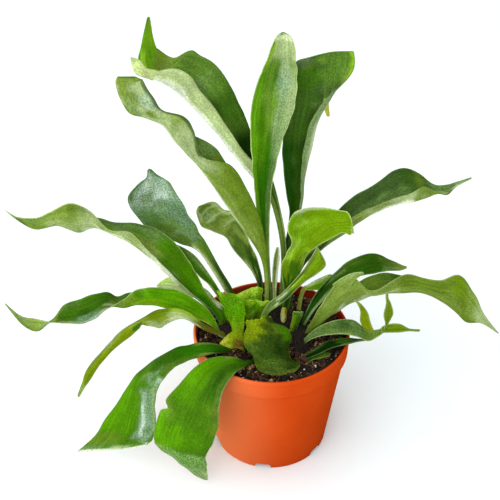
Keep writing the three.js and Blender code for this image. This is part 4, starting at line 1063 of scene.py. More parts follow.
        ("lime", 2.5, 3.5, -0.6, 1.2, 0.9),
        ("yellow_lime", 2.7, 3.5, 0.1, 1.2, 0.5),
    ]), "under": ("lime", [])},
    "shield_right": {"margin": "pale", "upper": ("leaf", [
        ("yellow_olive", 0.4, 2.4, -1.2, -0.3, 0.9),
        ("forest", 0.4, 2.4, 0, 0.65, 0.8),
        ("sage_pale", 2.5, 3.5, 0.4, 1.2, 0.7),
    ]), "under": ("lime", [])},
}


def smoothstep(x, low=0.0, high=1.0):
    t = np.clip((x - low) / (high - low), 0, 1)
    return t * t * (3 - 2 * t)


def band(x, low, high, soft):
    """1 between low and high and 0 beyond them, with soft borders."""
    return smoothstep(x, low - soft, low + soft) * (1 - smoothstep(x, high - soft, high + soft))


def linear(level):
    """Screen level, 0 to 255, as linear light."""
    c = level / 255
    return c / 12.92 if c <= 0.04045 else ((c + 0.055) / 1.055) ** 2.4


def ripple(points, wavelength, seed, waves=7):
    """A smooth random field at the points, about -1 to 1: the sum of a few plane waves."""
    draw = np.random.default_rng(seed)
    total = np.zeros(points.shape[:-1])
    for _ in range(waves):
        direction = draw.normal(size=3)
        direction *= 2 * math.pi / (wavelength * draw.uniform(0.7, 1.4)) / np.linalg.norm(direction)
        total += np.sin(points @ direction + draw.uniform(0, 2 * math.pi))
    return total / math.sqrt(waves)


def curve_through(points, at):
    """Catmull-Rom curve through points, at station numbers that needn't be whole."""
    ends = np.vstack([2 * points[0] - points[1], points, 2 * points[-1] - points[-2]])
    i = np.clip(at.astype(int), 0, len(points) - 2)
    t = (at - i)[:, None]
    a, b, c, d = ends[i], ends[i + 1], ends[i + 2], ends[i + 3]
    bend = 2 * a - 5 * b + 4 * c - d
    twist = 3 * b - a - 3 * c + d
    return 0.5 * (2 * b + (c - a) * t + bend * t ** 2 + twist * t ** 3)


def opened_ends(rows, foot_width):
    """Station lists with each narrow end, which is one point, widened along its neighbour's width."""
    def widened(middle, neighbour, width):
        half = np.subtract(neighbour[2], neighbour[0])
        half = half / np.linalg.norm(half) * width / 2
        return [middle - half, middle, middle + half]

    opened = [row if isinstance(row[0], list) else None for row in rows]
    if opened[0] is None:
        opened[0] = widened(np.array(rows[0], float), rows[1], foot_width)
    if opened[-1] is None:
        opened[-1] = widened(np.array(rows[-1], float), rows[-2], TIP_WIDTH)
    return np.array(opened, float)


def unit(vectors):
    return vectors / np.maximum(np.linalg.norm(vectors, axis=-1, keepdims=True), 1e-9)


def row_places(rows):
    """Station numbers of the mesh's rows, evenly spaced along the blade and closer at both ends, with their
    distances from the foot and the blade's length."""
    fine = np.linspace(0, len(rows) - 1, 40 * len(rows))
    middle = curve_through(rows.mean(axis=1), fine)
    reach = np.concatenate([[0], np.cumsum(np.linalg.norm(np.diff(middle, axis=0), axis=1))])
    length = reach[-1]
    inner = np.linspace(EDGE_BAND, length - EDGE_BAND, max(6, round(length / ROW_PITCH)))
    along = np.concatenate([EDGE_STEPS, inner, length - EDGE_STEPS[::-1]])
    return np.interp(along, reach, fine), along, length


def column_places(left_run, right_run, widest):
    """Places across each row, -1 to 1: evenly spaced, and closer within a millimetre of both margins.

    left_run and right_run are the lengths in the blade that a step of 1 makes at either margin."""
    count = max(6, 2 * round(widest / COLUMN_PITCH / 2))
    steps = np.linspace(0, 1, count // 2 + 1)[None, :]
    left, right = (np.minimum(EDGE_STEPS / run[:, None], EDGE_SHARES) for run in (left_run, right_run))
    left_inner = -(steps[:, ::-1] * (1 - left[:, -1:] * 1.5))
    right_inner = steps[:, 1:] * (1 - right[:, -1:] * 1.5)
    return np.hstack([-1 + left, left_inner, right_inner, 1 - right[:, ::-1]])


def blade_grid(rows, seed, stalk, core, thickness, wave, ragged, bays=()):
    """The mesh grid of one blade. Returns the points of both faces, and where each stands on the blade.

    bays are places where the margin bulges or is notched, as described above PAINT."""
    at, along, length = row_places(rows)
    left, rib, right = (curve_through(rows[:, k], at) for k in range(3))
    half = (right - left) / 2
    sag = (left + right) / 2 - rib
    chord, left_run, right_run = (np.maximum(np.linalg.norm(way, axis=1), LEAST_RUN)
                                  for way in (half, half - 2 * sag, half + 2 * sag))
    across = column_places(left_run, right_run, (left_run + right_run).max())
    leftward = across < 0
    run = np.where(leftward, left_run[:, None], right_run[:, None])

    def sheet(s):
        return rib[:, None] + half[:, None] * s[..., None] + sag[:, None] * (s ** 2)[..., None]

    middle = sheet(across)
    normal = unit(np.cross(np.gradient(middle, axis=1), np.gradient(middle, axis=0)))

    # Rounded corners at both ends, and margins that wander a little.
    ends = np.minimum(along, length - along)
    corner = np.minimum(CORNER_ROUND, chord)
    inset = np.clip(corner - ends, 0, corner)
    cut = corner - np.sqrt(np.maximum(corner ** 2 - inset ** 2, 0))
    cut_back = cut[:, None] / np.maximum(run, corner[:, None])
    open_blade = smoothstep(chord, *OPEN_WIDTHS)
    places = np.stack([np.zeros_like(along), np.zeros_like(along), along], axis=1)
    wander = {}
    for side, stream in (("left", seed + 11), ("right", seed + 22)):
        nibbles = ragged * ripple(places, NIBBLE_LENGTH, stream + 1)
        wander[side] = open_blade * (WANDER * ripple(places, WANDER_LENGTH, stream) + nibbles)
    for side, station, spread, reach in bays:
        wander[side] += reach * np.exp(-((at - station) / spread) ** 2)
    shift = np.where(leftward, wander["left"][:, None], wander["right"][:, None]) / run
    points = sheet(across * (1 - cut_back + shift * np.abs(across) ** 2))

    # Ripples of the margins and shallow dents in the blade.
    free = open_blade * smoothstep(length - along, 0, FREE_TIP)
    turn = along * 2 * math.pi / (RIPPLE_LENGTH + seed % 7)
    drift = ripple(places, DRIFT_LENGTH, seed + 3)[:, None] * DRIFT
    swing = np.sin(turn[:, None] + np.where(leftward, 0.0, 2.1) + drift)
    lift = wave * swing * np.abs(across) ** 3 * free[:, None]
    lift += DENT * ripple(middle, DENT_LENGTH, seed + 5) * open_blade[:, None]
    points = points + normal * lift[..., None]

    # A torn or toothed far end.
    if ragged:
        tip_run = smoothstep(along, length - TORN_TIP, length)[:, None]
        teeth = ripple(middle * [1, 1, 0.3], TOOTH_LENGTHS[0], seed + 8)
        teeth = teeth + 0.35 * ripple(middle, TOOTH_LENGTHS[1], seed + 9)
        points = points + unit(np.gradient(middle, axis=0)) * (ragged * TOOTH * tip_run * teeth)[..., None]

    # Thickness: the petiole's core fades into the thin blade, and every edge is rounded.
    woody = np.zeros_like(along)
    if stalk:
        woody = 1 - smoothstep(at / (len(rows) - 1), stalk * 0.6, stalk + 1e-6)
    stout = np.maximum(np.minimum(core, MAX_STOUTNESS * 2 * chord) - thickness, 0)
    full = thickness + (stout * woody)[:, None] * (1 - across ** 2)
    margin = (1 - np.abs(across)) * run
    edge = np.minimum(np.minimum(margin, ends[:, None]) / MARGIN_ROUND, 1)
    full = full * np.sqrt(np.maximum(1 - (1 - edge) ** 2, 0))
    step = normal * (full / 2)[..., None]
    info = {
        "station": np.broadcast_to(at[:, None], across.shape),
        "along": np.broadcast_to(along[:, None], across.shape),
        "across": across,
        "margin": np.minimum(margin, ends[:, None] + 0.2),
        "chord": np.broadcast_to(chord[:, None], across.shape),
        "woody": np.broadcast_to(woody[:, None], across.shape),
    }
    return points + step, points - step, info


def stroke_cover(station, across, stroke, seed):
    """How much of a stroke lies on each point. Its borders are soft and wander."""
    first, last, near, far, strength, *rest = stroke[1:]
    sharpness = rest[0] if rest else 1
    along_grain, across_grain = STROKE_GRAIN
    places = np.stack([station * along_grain, across * across_grain, np.zeros_like(station)], axis=-1)
    drift = [reach * ripple(places, wavelength, seed + 21 + k) / sharpness
             for k, (reach, wavelength) in enumerate(zip(STROKE_WANDER, STROKE_WANDER_LENGTHS))]
    station = station + drift[0]
    across = across + drift[1]
    soft = min(STROKE_MOST_SOFT, 0.35 + 0.2 * (last - first)) / sharpness
    edge = min(STROKE_MOST_EDGE, (far - near) / 3) / sharpness
    return band(station, first, last, soft / 2) * band(across, near, far, edge) * strength


def painted(grid, paint, seed):
    """The grid with the colour (linear red, green and blue) and felt at every point of both faces."""
    def tone(name):
        r, g, b, felt = PALETTE[name]
        return np.array([linear(r), linear(g), linear(b), felt])

    info = grid[2]
    rim = (1 - smoothstep(info["margin"], *RIM_WIDTHS)) * paint.get("rim", RIM_STRENGTH)
    rim = (rim * (1 - 0.6 * info["woody"]))[..., None]
    tones = {}
    k = 0
    for face in (key for key in paint if key in ("upper", "under")):
        base, strokes = paint[face]
        colour = np.broadcast_to(tone(base), info["across"].shape + (4,))
        for stroke in strokes:
            cover = stroke_cover(info["station"], info["across"], stroke, seed + 37 * k)[..., None]
            colour = colour * (1 - cover) + tone(stroke[0]) * cover
            k += 1
        tones[face] = colour * (1 - rim) + tone(paint["margin"]) * rim
    return (*grid, tones["upper"], tones["under"])


def blade_mesh(name, blades):
    """One mesh of one or more blades. The two faces of a blade share the points of its edges."""
    points, faces, colours, places = [], [], [], []
    for upper, under, info, upper_tone, under_tone in blades:
        rows, columns = info["across"].shape
        start = sum(len(p) for p in points)
        above = np.arange(rows * columns).reshape(rows, columns) + start
        inside = np.zeros((rows, columns), bool)
        inside[1:-1, 1:-1] = True
        below = above.copy()
        below[inside] = start + rows * columns + np.arange(inside.sum())
        place = np.stack([info["across"] * info["chord"].max(), info["along"], 3.0 * info["woody"]], axis=-1)
        points += [upper.reshape(-1, 3), under[inside]]
        colours += [upper_tone.reshape(-1, 4), under_tone[inside]]
        places += [place.reshape(-1, 3), place[inside]]
        for grid, step in ((above, 1), (below, -1)):
            corners = [grid[:-1, :-1], grid[:-1, 1:], grid[1:, 1:], grid[1:, :-1]]
            faces.append(np.stack(corners, axis=-1).reshape(-1, 4)[:, ::step])
    mesh = solid_from(name, np.vstack(points), np.vstack(faces).tolist())
    colours, places = np.vstack(colours), np.vstack(places)
    tint = mesh.attributes.new("tint", "FLOAT_COLOR", "POINT")
    tint.data.foreach_set("color", np.hstack([colours[:, :3], np.ones((len(colours), 1))]).ravel())
    felt = mesh.attributes.new("felt", "FLOAT", "POINT")
    felt.data.foreach_set("value", colours[:, 3].astype(np.float32))
    spot = mesh.attributes.new("blade_place", "FLOAT_VECTOR", "POINT")
    spot.data.foreach_set("vector", places.astype(np.float32).ravel())
    return mesh


def solid_from(name, points, faces):
    """A smooth mesh from points in millimetres and their faces."""
    mesh = bpy.data.meshes.new(name)
    mesh.from_pydata((np.array(points, float) * MM).tolist(), [], faces)
    mesh.polygons.foreach_set("use_smooth", [True] * len(mesh.polygons))
    mesh.update()
    return mesh


def piece(name, mesh, material, slot, *nodes):
    """A finished piece of the object, in place of CAD nodes if any are named."""
    obj = bpy.data.objects.new(name, mesh)
    bpy.context.scene.collection.objects.link(obj)
    mesh.materials.append(material)
    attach(obj, "root")
    if nodes:
        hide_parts(*nodes)


def frond_blades(frond, seed, paint):
    """The painted grids of a frond and of its lobes."""
    rows = opened_ends(frond["rows"], PETIOLE_WIDTH)
    grid = blade_grid(rows, seed, stalk=frond["stalk"], core=PETIOLE_THICKNESS, thickness=BLADE_THICKNESS,
                      wave=FROND_WAVE, ragged=0, bays=paint.get("bays", ()))
    blades = [painted(grid, paint, seed)]
    for k, lobe in enumerate(frond.get("lobes", []), 1):
        rows = opened_ends(lobe, PETIOLE_WIDTH)
        grid = blade_grid(rows, seed + k, stalk=0, core=BLADE_THICKNESS, thickness=BLADE_THICKNESS,
                          wave=FROND_WAVE, ragged=0)
        blades.append(painted(grid, {**paint, **paint.get("lobe_paint", {}).get(k, {})}, seed))
    return blades


def shield_blades(rows, seed, paint):
    """The painted grid of a shield frond."""
    rows = opened_ends(rows, SHIELD_FOOT_WIDTH)
    grid = blade_grid(rows, seed, stalk=0, core=0, thickness=SHIELD_THICKNESS, wave=SHIELD_WAVE,
                      ragged=SHIELD_RAGGED, bays=paint.get("bays", ()))
    return [painted(grid, paint, seed)]


# Materials

class Graph:
    """The nodes of a material or of the world. Its methods add nodes and return their outputs."""

    def __init__(self, tree):
        self.nodes, self.links = tree.nodes, tree.links

    def add(self, kind, inputs=(), **settings):
        """A node with its settings, its constant inputs and its links from other sockets."""
        node = self.nodes.new("ShaderNode" + kind)
        for key, value in settings.items():
            setattr(node, key, value)
        for key, value in dict(inputs).items():
            if isinstance(value, bpy.types.NodeSocket):
                self.links.new(value, node.inputs[key])
            else:
                node.inputs[key].default_value = value
        return node

    def body(self):
        """Places in the object's own frame, in metres."""
        return self.add("TexCoord").outputs["Object"]

    def stored(self, name, output):
        return self.add("Attribute", attribute_name=name).outputs[output]

    def noise(self, place, scale, detail, roughness=0.5):
        inputs = {"Vector": place, "Scale": scale, "Detail": detail, "Roughness": roughness}
        return self.add("TexNoise", inputs).outputs["Fac"]

    def span(self, value, low, high, to_low, to_high, **settings):
        """The value with low to high spread over to_low to to_high."""
        inputs = {"Value": value, "From Min": low, "From Max": high, "To Min": to_low, "To Max": to_high}
        return self.add("MapRange", inputs, **settings).outputs[0]

    def maths(self, operation, *values):
        return self.add("Math", enumerate(values), operation=operation).outputs[0]

    def dot(self, first, second):
        return self.add("VectorMath", {0: first, 1: second}, operation="DOT_PRODUCT").outputs["Value"]

    def scaled(self, colour, factor):
        return self.add("VectorMath", {0: colour, "Scale": factor}, operation="SCALE").outputs["Vector"]

    def mix(self, factor, first, second, **settings):
        inputs = {"Factor": factor, 6: first, 7: second}
        return self.add("Mix", inputs, data_type="RGBA", **settings).outputs[2]

    def ramp(self, factor, *stops):
        """A colour ramp with the stops given as (place, colour)."""
        node = self.add("ValToRGB", {"Fac": factor})
        elements = node.color_ramp.elements
        elements[0].position, elements[0].color = stops[0]
        elements[1].position, elements[1].color = stops[-1]
        for place, colour in stops[1:-1]:
            elements.new(place).color = colour
        return node.outputs["Color"]

    def finish(self, shader, colour, roughness, relief, strength, distance):
        """The shader with its colour, its roughness and a bumpy surface."""
        bump = self.add("Bump", {"Height": relief, "Strength": strength, "Distance": distance})
        self.links.new(colour, shader.inputs["Base Color"])
        self.links.new(roughness, shader.inputs["Roughness"])
        self.links.new(bump.outputs["Normal"], shader.inputs["Normal"])


def new_material(name, **sockets):
    """A Principled material with constant values on its own sockets, with its graph and its shader."""
    mat = bpy.data.materials.new(name)
    mat.use_nodes = True
    graph = Graph(mat.node_tree)
    shader = graph.nodes["Principled BSDF"]
    for socket, value in sockets.items():
        shader.inputs[socket.replace("_", " ").title().replace("Ior", "IOR")].default_value = value
    return mat, graph, shader


def screen(r, g, b):
    """A screen colour as a linear one with full opacity."""
    return (linear(r), linear(g), linear(b), 1.0)


def grey(level):
    return (level, level, level, 1)


def leaf_material(name, speckle, grain, roughness, streaks):
    """Foliage: painted colour, which holds painted light and shade besides the leaves' own colour, parallel
    veins, blotches, and speckles that are strongest on felt.
    """
    mat, graph, shader = new_material(name, specular_ior_level=0.01)
    felt = graph.stored("felt", "Fac")
    place = graph.stored("blade_place", "Vector")
    body = graph.body()
    veins = graph.add("Mapping", {"Vector": place, "Scale": (0.55, 0.02, 1.0)}).outputs["Vector"]
    streak = graph.noise(veins, 1.0, 3.0, 0.65)
    fine = graph.noise(body, 720.0, 2.0)
    blotch = graph.noise(body, 60.0, 2.0)

    light = graph.span(streak, 0.3, 0.7, 1 - streaks, 1 + streaks)
    patch = graph.span(blotch, 0.3, 0.7, 0.89, 1.11)
    grains = graph.span(fine, 0.38, 0.62, -1.0, 1.0)
    reach = graph.maths("MULTIPLY_ADD", felt, speckle, grain)
    dots = graph.maths("MULTIPLY_ADD", grains, reach, 1.0)
    shade = graph.maths("MULTIPLY", graph.maths("MULTIPLY", light, patch), dots)
    colour = graph.scaled(graph.stored("tint", "Color"), shade)
    rough = graph.span(felt, 0.0, 1.0, roughness, roughness + 0.25)
    graph.finish(shader, colour, rough, graph.maths("MULTIPLY_ADD", streak, 0.9, fine), 0.35, 0.0008)
    return mat


def plastic_material():
    """Moulded plastic of the pot: faint clouds, painted light (a paler orange) on the left side, painted
    shade inside, a painted shadow line under the rim's band, painted shade on the foot at the right and a
    fine grain."""
    mat, graph, shader = new_material("pot_plastic_moulded", specular_ior_level=0.0)
    body = graph.body()
    axes = graph.add("SeparateXYZ", {0: body}).outputs
    cloud = graph.noise(body, 24.0, 3.0)
    colour = graph.ramp(cloud, (0.3, screen(*POT_TONES[0])), (0.7, screen(*POT_TONES[1])))
    # Painted light: paler orange towards the pot's left side.
    painted_light = graph.span(axes["X"], POT_PAINTED_LIGHT_EDGE * MM, -RIM_RADIUS * MM, 0.0, POT_PAINTED_LIGHT_STRENGTH,
                       interpolation_type="SMOOTHSTEP")
    colour = graph.mix(painted_light, colour, screen(*POT_PAINTED_LIGHT))

    # Painted shade: faces turned towards the axis, the inside of the pot, are darker red.
    outward = graph.add("VectorMath", {0: body, 1: (1.0, 1.0, 0.0)}, operation="MULTIPLY").outputs["Vector"]
    facing = graph.dot(outward, graph.add("NewGeometry").outputs["Normal"])
    inner = graph.span(facing, 0.0, -0.03, 0.0, POT_INSIDE_SHADE_STRENGTH)
    colour = graph.mix(inner, colour, screen(*POT_INSIDE_SHADE))

    # Painted shadow: a darker line just under the rim's band.
    level = graph.span(axes["Z"], (BAND_FOOT - 3) * MM, (BAND_FOOT + 1) * MM, 0.0, 1.0)
    band_shadow = graph.ramp(level, (0.0, grey(0.97)), (0.6, grey(0.78)), (0.8, grey(1)))
    colour = graph.mix(1.0, colour, band_shadow, blend_type="MULTIPLY")
    # Painted shade: darker towards the foot on the right side.
    foot_shade = graph.span(graph.dot(body, (1.0, 0.0, -1.0)), -0.08, 0.06, 1.0, 0.72)
    rough = graph.span(cloud, 0.0, 1.0, 0.38, 0.5)
    graph.finish(shader, graph.scaled(colour, foot_shade), rough, graph.noise(body, 900.0, 2.0), 0.12, 0.0004)
    return mat


def earth_material(name, dark, light, scale):
    """Soil, roots and bark: two tones in noise, rough."""
    mat, graph, shader = new_material(name, specular_ior_level=0.25)
    clods = graph.noise(graph.body(), scale, 6.0, 0.7)
    colour = graph.ramp(clods, (0.35, screen(*dark)), (0.7, screen(*light)))
    graph.finish(shader, colour, graph.span(clods, 0.0, 1.0, 0.75, 0.9), clods, 0.6, 0.001)
    return mat


# Pot

def rounded(profile, steps=4):
    """The closed outline with each corner that is marked with a radius turned into an arc."""
    out = []
    for k, corner in enumerate(profile):
        here = np.array(corner[:2], float)
        r = corner[2] if len(corner) > 2 else 0
        if not r:
            out.append(here)
            continue
        before = np.array(profile[k - 1][:2], float)
        after = np.array(profile[(k + 1) % len(profile)][:2], float)
        a, b = here + unit(before - here) * r, here + unit(after - here) * r
        for t in np.linspace(0, 1, steps + 1):
            out.append((1 - t) ** 2 * a + 2 * t * (1 - t) * here + t ** 2 * b)
    return np.array(out)


def pot_profile():
    """Radius and height round the wall, from the axis underneath to the axis inside, with roundings."""
    return rounded([
        (0, 0),
        (FOOT_RADIUS, 0, 1.6),
        (FOOT_RADIUS + 0.9, 7, 1),
        (SHOULDER_RADIUS - 0.2, BAND_FOOT - 2.5, 0.8),
        (SHOULDER_RADIUS - 0.8, BAND_FOOT, 0.4),
        (RIM_RADIUS - 0.9, BAND_FOOT, 0.6),
        (RIM_RADIUS - 0.75, BAND_FOOT + 1.5, 0.6),
        (RIM_RADIUS - 0.35, POT_HEIGHT - 5.2, 0.8),
        (RIM_RADIUS, POT_HEIGHT - 4.2, 0.8),
        (RIM_RADIUS, POT_HEIGHT, 1.4),
        (RIM_RADIUS - RIM_WALL, POT_HEIGHT, 1.2),
        (RIM_RADIUS - RIM_WALL, BAND_FOOT + 2, 0.8),
        (SHOULDER_RADIUS - POT_WALL, BAND_FOOT - 2, 0.8),
        (FLOOR_RADIUS, POT_FLOOR, 1.2),
        (0, POT_FLOOR),
    ])


def capped_rings(rings, around):
    """Faces of a closed skin over an end point, rings of points and a second end point, in that order."""
    last = rings * around + 1
    faces = []
    for k in range(around):
        n = (k + 1) % around
        faces.append((0, 1 + k, 1 + n))
        for a in range(1, last - around, around):
            faces.append((a + k, a + around + k, a + around + n, a + n))
        faces.append((last, last - around + n, last - around + k))
    return faces


def round_about(count):
    return np.linspace(0, 2 * math.pi, count, endpoint=False)


def lathe(name, profile, segments):
    """A closed solid of revolution. The profile starts and ends on the axis."""
    rings = profile[1:-1]
    points = [(0, 0, profile[0][1])]
    points += [(r * math.cos(a), r * math.sin(a), z) for r, z in rings for a in round_about(segments)]
    points.append((0, 0, profile[-1][1]))
    faces = [face[:1] + face[:0:-1] for face in capped_rings(len(rings), segments)]
    return solid_from(name, points, faces)


def notch_cutters():
    """The low arches through the foot of the wall and the holes in the floor, as closed prisms."""
    points, faces = [], []

    def prism(outline, push):
        start, count = len(points), len(outline)
        for far in (0, 1):
            points.extend(push(x, y, far) for x, y in outline)
        faces.append(tuple(start + k for k in reversed(range(count))))
        faces.append(tuple(start + count + k for k in range(count)))
        for k in range(count):
            n = (k + 1) % count
            faces.append((start + k, start + n, start + count + n, start + count + k))

    half, height = FOOT_NOTCH_WIDTH / 2, FOOT_NOTCH_HEIGHT
    arc = [(half * (1 - 0.5 * t * t), height * (0.4 + 0.6 * (1 - (1 - t) ** 2)))
           for t in np.linspace(0, 1, 7)]
    arch = [(-half, -2), (half, -2)] + arc + [(-x, z) for x, z in reversed(arc)]
    for i in range(FOOT_NOTCHES):
        angle = math.radians(FOOT_NOTCH_TURN) + i * 2 * math.pi / FOOT_NOTCHES
        out = Vector((math.cos(angle), math.sin(angle), 0))
        side = Vector((-out.y, out.x, 0))

        def through_wall(x, z, far):
            reach = FOOT_RADIUS - FOOT_NOTCH_REACH + 2 * FOOT_NOTCH_REACH * (1 - far)
            return tuple(out * reach + side * x + Vector((0, 0, z)))

        prism(arch, through_wall)
    circle = [(DRAIN_HOLE_RADIUS * math.cos(a), DRAIN_HOLE_RADIUS * math.sin(a)) for a in round_about(24)]
    for i in range(DRAIN_HOLES):
        angle = (i + 0.5) * 2 * math.pi / DRAIN_HOLES
        x0, y0 = DRAIN_HOLE_CIRCLE * math.cos(angle), DRAIN_HOLE_CIRCLE * math.sin(angle)
        prism(circle, lambda x, y, far: (x0 + x, y0 + y, -3 + 9 * far))
    return solid_from("cutters", points, faces)


def facing_out(mesh):
    """The mesh with every face turned outward."""
    bm = bmesh.new()
    bm.from_mesh(mesh)
    bmesh.ops.recalc_face_normals(bm, faces=bm.faces)
    bm.to_mesh(mesh)
    bm.free()
    return mesh


def modified(name, mesh, kind, **settings):
    """The mesh as one modifier leaves it."""
    obj = bpy.data.objects.new(name, mesh)
    bpy.context.scene.collection.objects.link(obj)
    modifier = obj.modifiers.new(name, kind)
    for key, value in settings.items():
        setattr(modifier, key, value)
    result = bpy.data.meshes.new_from_object(obj.evaluated_get(bpy.context.evaluated_depsgraph_get()))
    bpy.data.objects.remove(obj)
    return result


def cut_by(mesh, cutter_mesh):
    """The mesh with the cutters' space taken out of it."""
    cutter = bpy.data.objects.new("cutters", facing_out(cutter_mesh))
    bpy.context.scene.collection.objects.link(cutter)
    result = modified("body_to_cut", mesh, "BOOLEAN", operation="DIFFERENCE", solver="EXACT", object=cutter)
    bpy.data.objects.remove(cutter)
    return result


# Soil

def soil_height(x, y):
    """The solid's own soil surface."""
    waves = np.sin(0.33 * x + 0.4) * np.cos(0.29 * y) + 0.6 * np.sin(0.71 * x - 0.52 * y + 1)
    return SOIL_LEVEL + SOIL_RELIEF * waves


def soil_mesh():
    """A disc of soil with a crumbly top, closed underneath."""
    rings, sectors = 72, 220
    turn = round_about(sectors)
    radii = SOIL_RADIUS * np.linspace(0, 1, rings + 1)[1:]
    x, y = np.outer(radii, np.cos(turn)), np.outer(radii, np.sin(turn))
    flat = np.stack([x, y, np.zeros_like(x)], axis=-1)
    lumps = sum(height * ripple(flat, wavelength, seed) for height, wavelength, seed in SOIL_LUMPS)
    top = np.stack([x, y, soil_height(x, y) + lumps - 0.3], axis=-1)
    sides = [(SOIL_RADIUS, BAND_FOOT + 2.5), (SHOULDER_RADIUS - POT_WALL - 0.7, BAND_FOOT - 2.5),
             (FLOOR_RADIUS - SOIL_GAP, POT_FLOOR + SOIL_GAP)]
    points = [(0, 0, float(soil_height(0, 0)))]
    points += top.reshape(-1, 3).tolist()
    points += [(r * math.cos(a), r * math.sin(a), h) for r, h in sides for a in turn]
    points.append((0, 0, POT_FLOOR + SOIL_GAP))
    return solid_from("soil_surface", points, capped_rings(rings + len(sides), sectors))


def ball(detail):
    """Points and faces of a round ball of radius 1, from an icosahedron split a few times."""
    bm = bmesh.new()
    bmesh.ops.create_icosphere(bm, subdivisions=detail, radius=1)
    points = np.array([v.co for v in bm.verts])
    faces = [tuple(v.index for v in f.verts) for f in bm.faces]
    bm.free()
    return points, faces


def joined(name, parts):
    """One mesh of many parts, given as (points, faces)."""
    points, faces = [], []
    for some, sheets in parts:
        faces += [tuple(len(points) + i for i in sheet) for sheet in sheets]
        points += [tuple(p) for p in some]
    return solid_from(name, points, faces)


def scattered_lumps(count, sizes, seed, lift):
    """Crumbs lying on the soil: dented balls of all sizes, closed and apart from the surface below them."""
    draw = random.Random(seed)
    shape, triangles = ball(2)
    lumps = []
    for k in range(count):
        radius = SOIL_RADIUS * math.sqrt(draw.random()) * 0.985
        angle = draw.uniform(0, 2 * math.pi)
        size = draw.uniform(*sizes) * draw.uniform(0.6, 1.0)
        radius = min(radius, SOIL_RADIUS - size)
        x, y = radius * math.cos(angle), radius * math.sin(angle)
        stretch = np.array([draw.uniform(0.6, 1.3) for _ in range(3)]) * size
        dented = shape * (1 + 0.22 * ripple(shape, 1.3, seed + 7 * k)[:, None]) * stretch
        spin = draw.uniform(0, math.pi)
        c, s = math.cos(spin), math.sin(spin)
        turned = dented @ np.array([[c, s, 0], [-s, c, 0], [0, 0, 1]])
        lumps.append((turned + [x, y, float(soil_height(x, y)) + lift * size], triangles))
    return lumps


def tube_along(path, radius, sides):
    """Points and faces of a thin closed tube along a path, tapering at both ends."""
    path = np.array(path, float)
    along = unit(np.gradient(path, axis=0))
    side = unit(np.cross(along, [0.3, 0.2, 1.0]))
    lift = np.cross(side, along)
    points = [path[0]]
    count = len(path)
    for k in range(1, count - 1):
        r = radius * min(1, 0.45 + 1.2 * min(k, count - 1 - k) / count)
        points += [path[k] + r * (math.cos(a) * side[k] + math.sin(a) * lift[k]) for a in round_about(sides)]
    points.append(path[-1])
    return points, capped_rings(count - 2, sides)


def wandering_roots(count, seed):
    """Root fibres that wander over the soil."""
    draw = random.Random(seed)
    tubes = []
    for _ in range(count):
        radius = (SOIL_RADIUS - 3) * math.sqrt(draw.random())
        turn = draw.uniform(0, 2 * math.pi)
        x, y = radius * math.cos(turn), radius * math.sin(turn)
        heading, bend = draw.uniform(0, 2 * math.pi), draw.uniform(-0.35, 0.35)
        arch, path = draw.uniform(0.2, 2.4), []
        steps = draw.randint(6, 14)
        for k in range(steps):
            rise = arch * math.sin(math.pi * k / (steps - 1))
            path.append((x, y, float(soil_height(x, y)) + ROOT_HEIGHT + rise))
            heading += bend + draw.uniform(-0.3, 0.3)
            x, y = x + ROOT_STEP * math.cos(heading), y + ROOT_STEP * math.sin(heading)
            reach = math.hypot(x, y)
            if reach > SOIL_RADIUS - 1.5:
                x, y = x * (SOIL_RADIUS - 1.5) / reach, y * (SOIL_RADIUS - 1.5) / reach
        tubes.append(tube_along(path, draw.uniform(*ROOT_RADII), sides=5))
    return tubes


# Rhizome

def rhizome_mesh():
    """The knobbly stem, as one skin over its knobs."""
    shape, triangles = ball(4)
    knobs = [(shape * [radius, radius, radius * RHIZOME_FLATNESS] + at, triangles)
             for at, radius in RHIZOME_KNOBS]
    skin = modified("rhizome_knobs", joined("rhizome_knobs", knobs), "REMESH", mode="VOXEL",
                    voxel_size=RHIZOME_VOXEL * MM)
    co = np.zeros(len(skin.vertices) * 3)
    skin.vertices.foreach_get("co", co)
    co = co.reshape(-1, 3) / MM
    rough = 0.6 * ripple(co, 5, 501) + 0.35 * ripple(co, 2.4, 502)
    co = co + unit(co - np.array(RHIZOME_CENTRE)) * (rough - 0.6)[:, None]
    skin.vertices.foreach_set("co", (co * MM).ravel())
    skin.polygons.foreach_set("use_smooth", [True] * len(skin.polygons))
    skin.update()
    return skin


def rhizome_scales(count, seed):
    """Papery brown scales and hairs that stand out of the rhizome."""
    draw = random.Random(seed)
    tubes = []
    for _ in range(count):
        at, radius = draw.choice(RHIZOME_KNOBS)
        turn, rise = draw.uniform(0, 2 * math.pi), draw.uniform(0.15, 1.4)
        out = np.array([math.cos(turn) * math.cos(rise), math.sin(turn) * math.cos(rise), math.sin(rise)])
        foot = np.array(at) + out * [radius, radius, radius * RHIZOME_FLATNESS] * 0.94
        lean = np.array([draw.uniform(-1, 1), draw.uniform(-1, 1), draw.uniform(-0.3, 0.8)])
        length = draw.uniform(*SCALE_LENGTHS)
        path = [foot + out * length * t + lean * length * 0.5 * t * t for t in np.linspace(0, 1, 5)]
        tubes.append(tube_along(path, draw.uniform(*SCALE_RADII), sides=4))
    return tubes


# Stage

def studio_world():
    """A white light tent, brightest towards TENT_BRIGHT_SIDE and dimmest opposite."""
    world = bpy.data.worlds.new("studio")
    world.use_nodes = True
    graph = Graph(world.node_tree)
    background = graph.nodes["Background"]
    way = graph.add("TexCoord").outputs["Generated"]
    facing = graph.dot(way, Vector(TENT_BRIGHT_SIDE).normalized())
    light = graph.span(facing, -1.0, 1.0, TENT_DIM, TENT_BRIGHT)
    background.inputs["Color"].default_value = (1.0, 1.0, 1.0, 1)
    graph.links.new(light, background.inputs["Strength"])
    return world


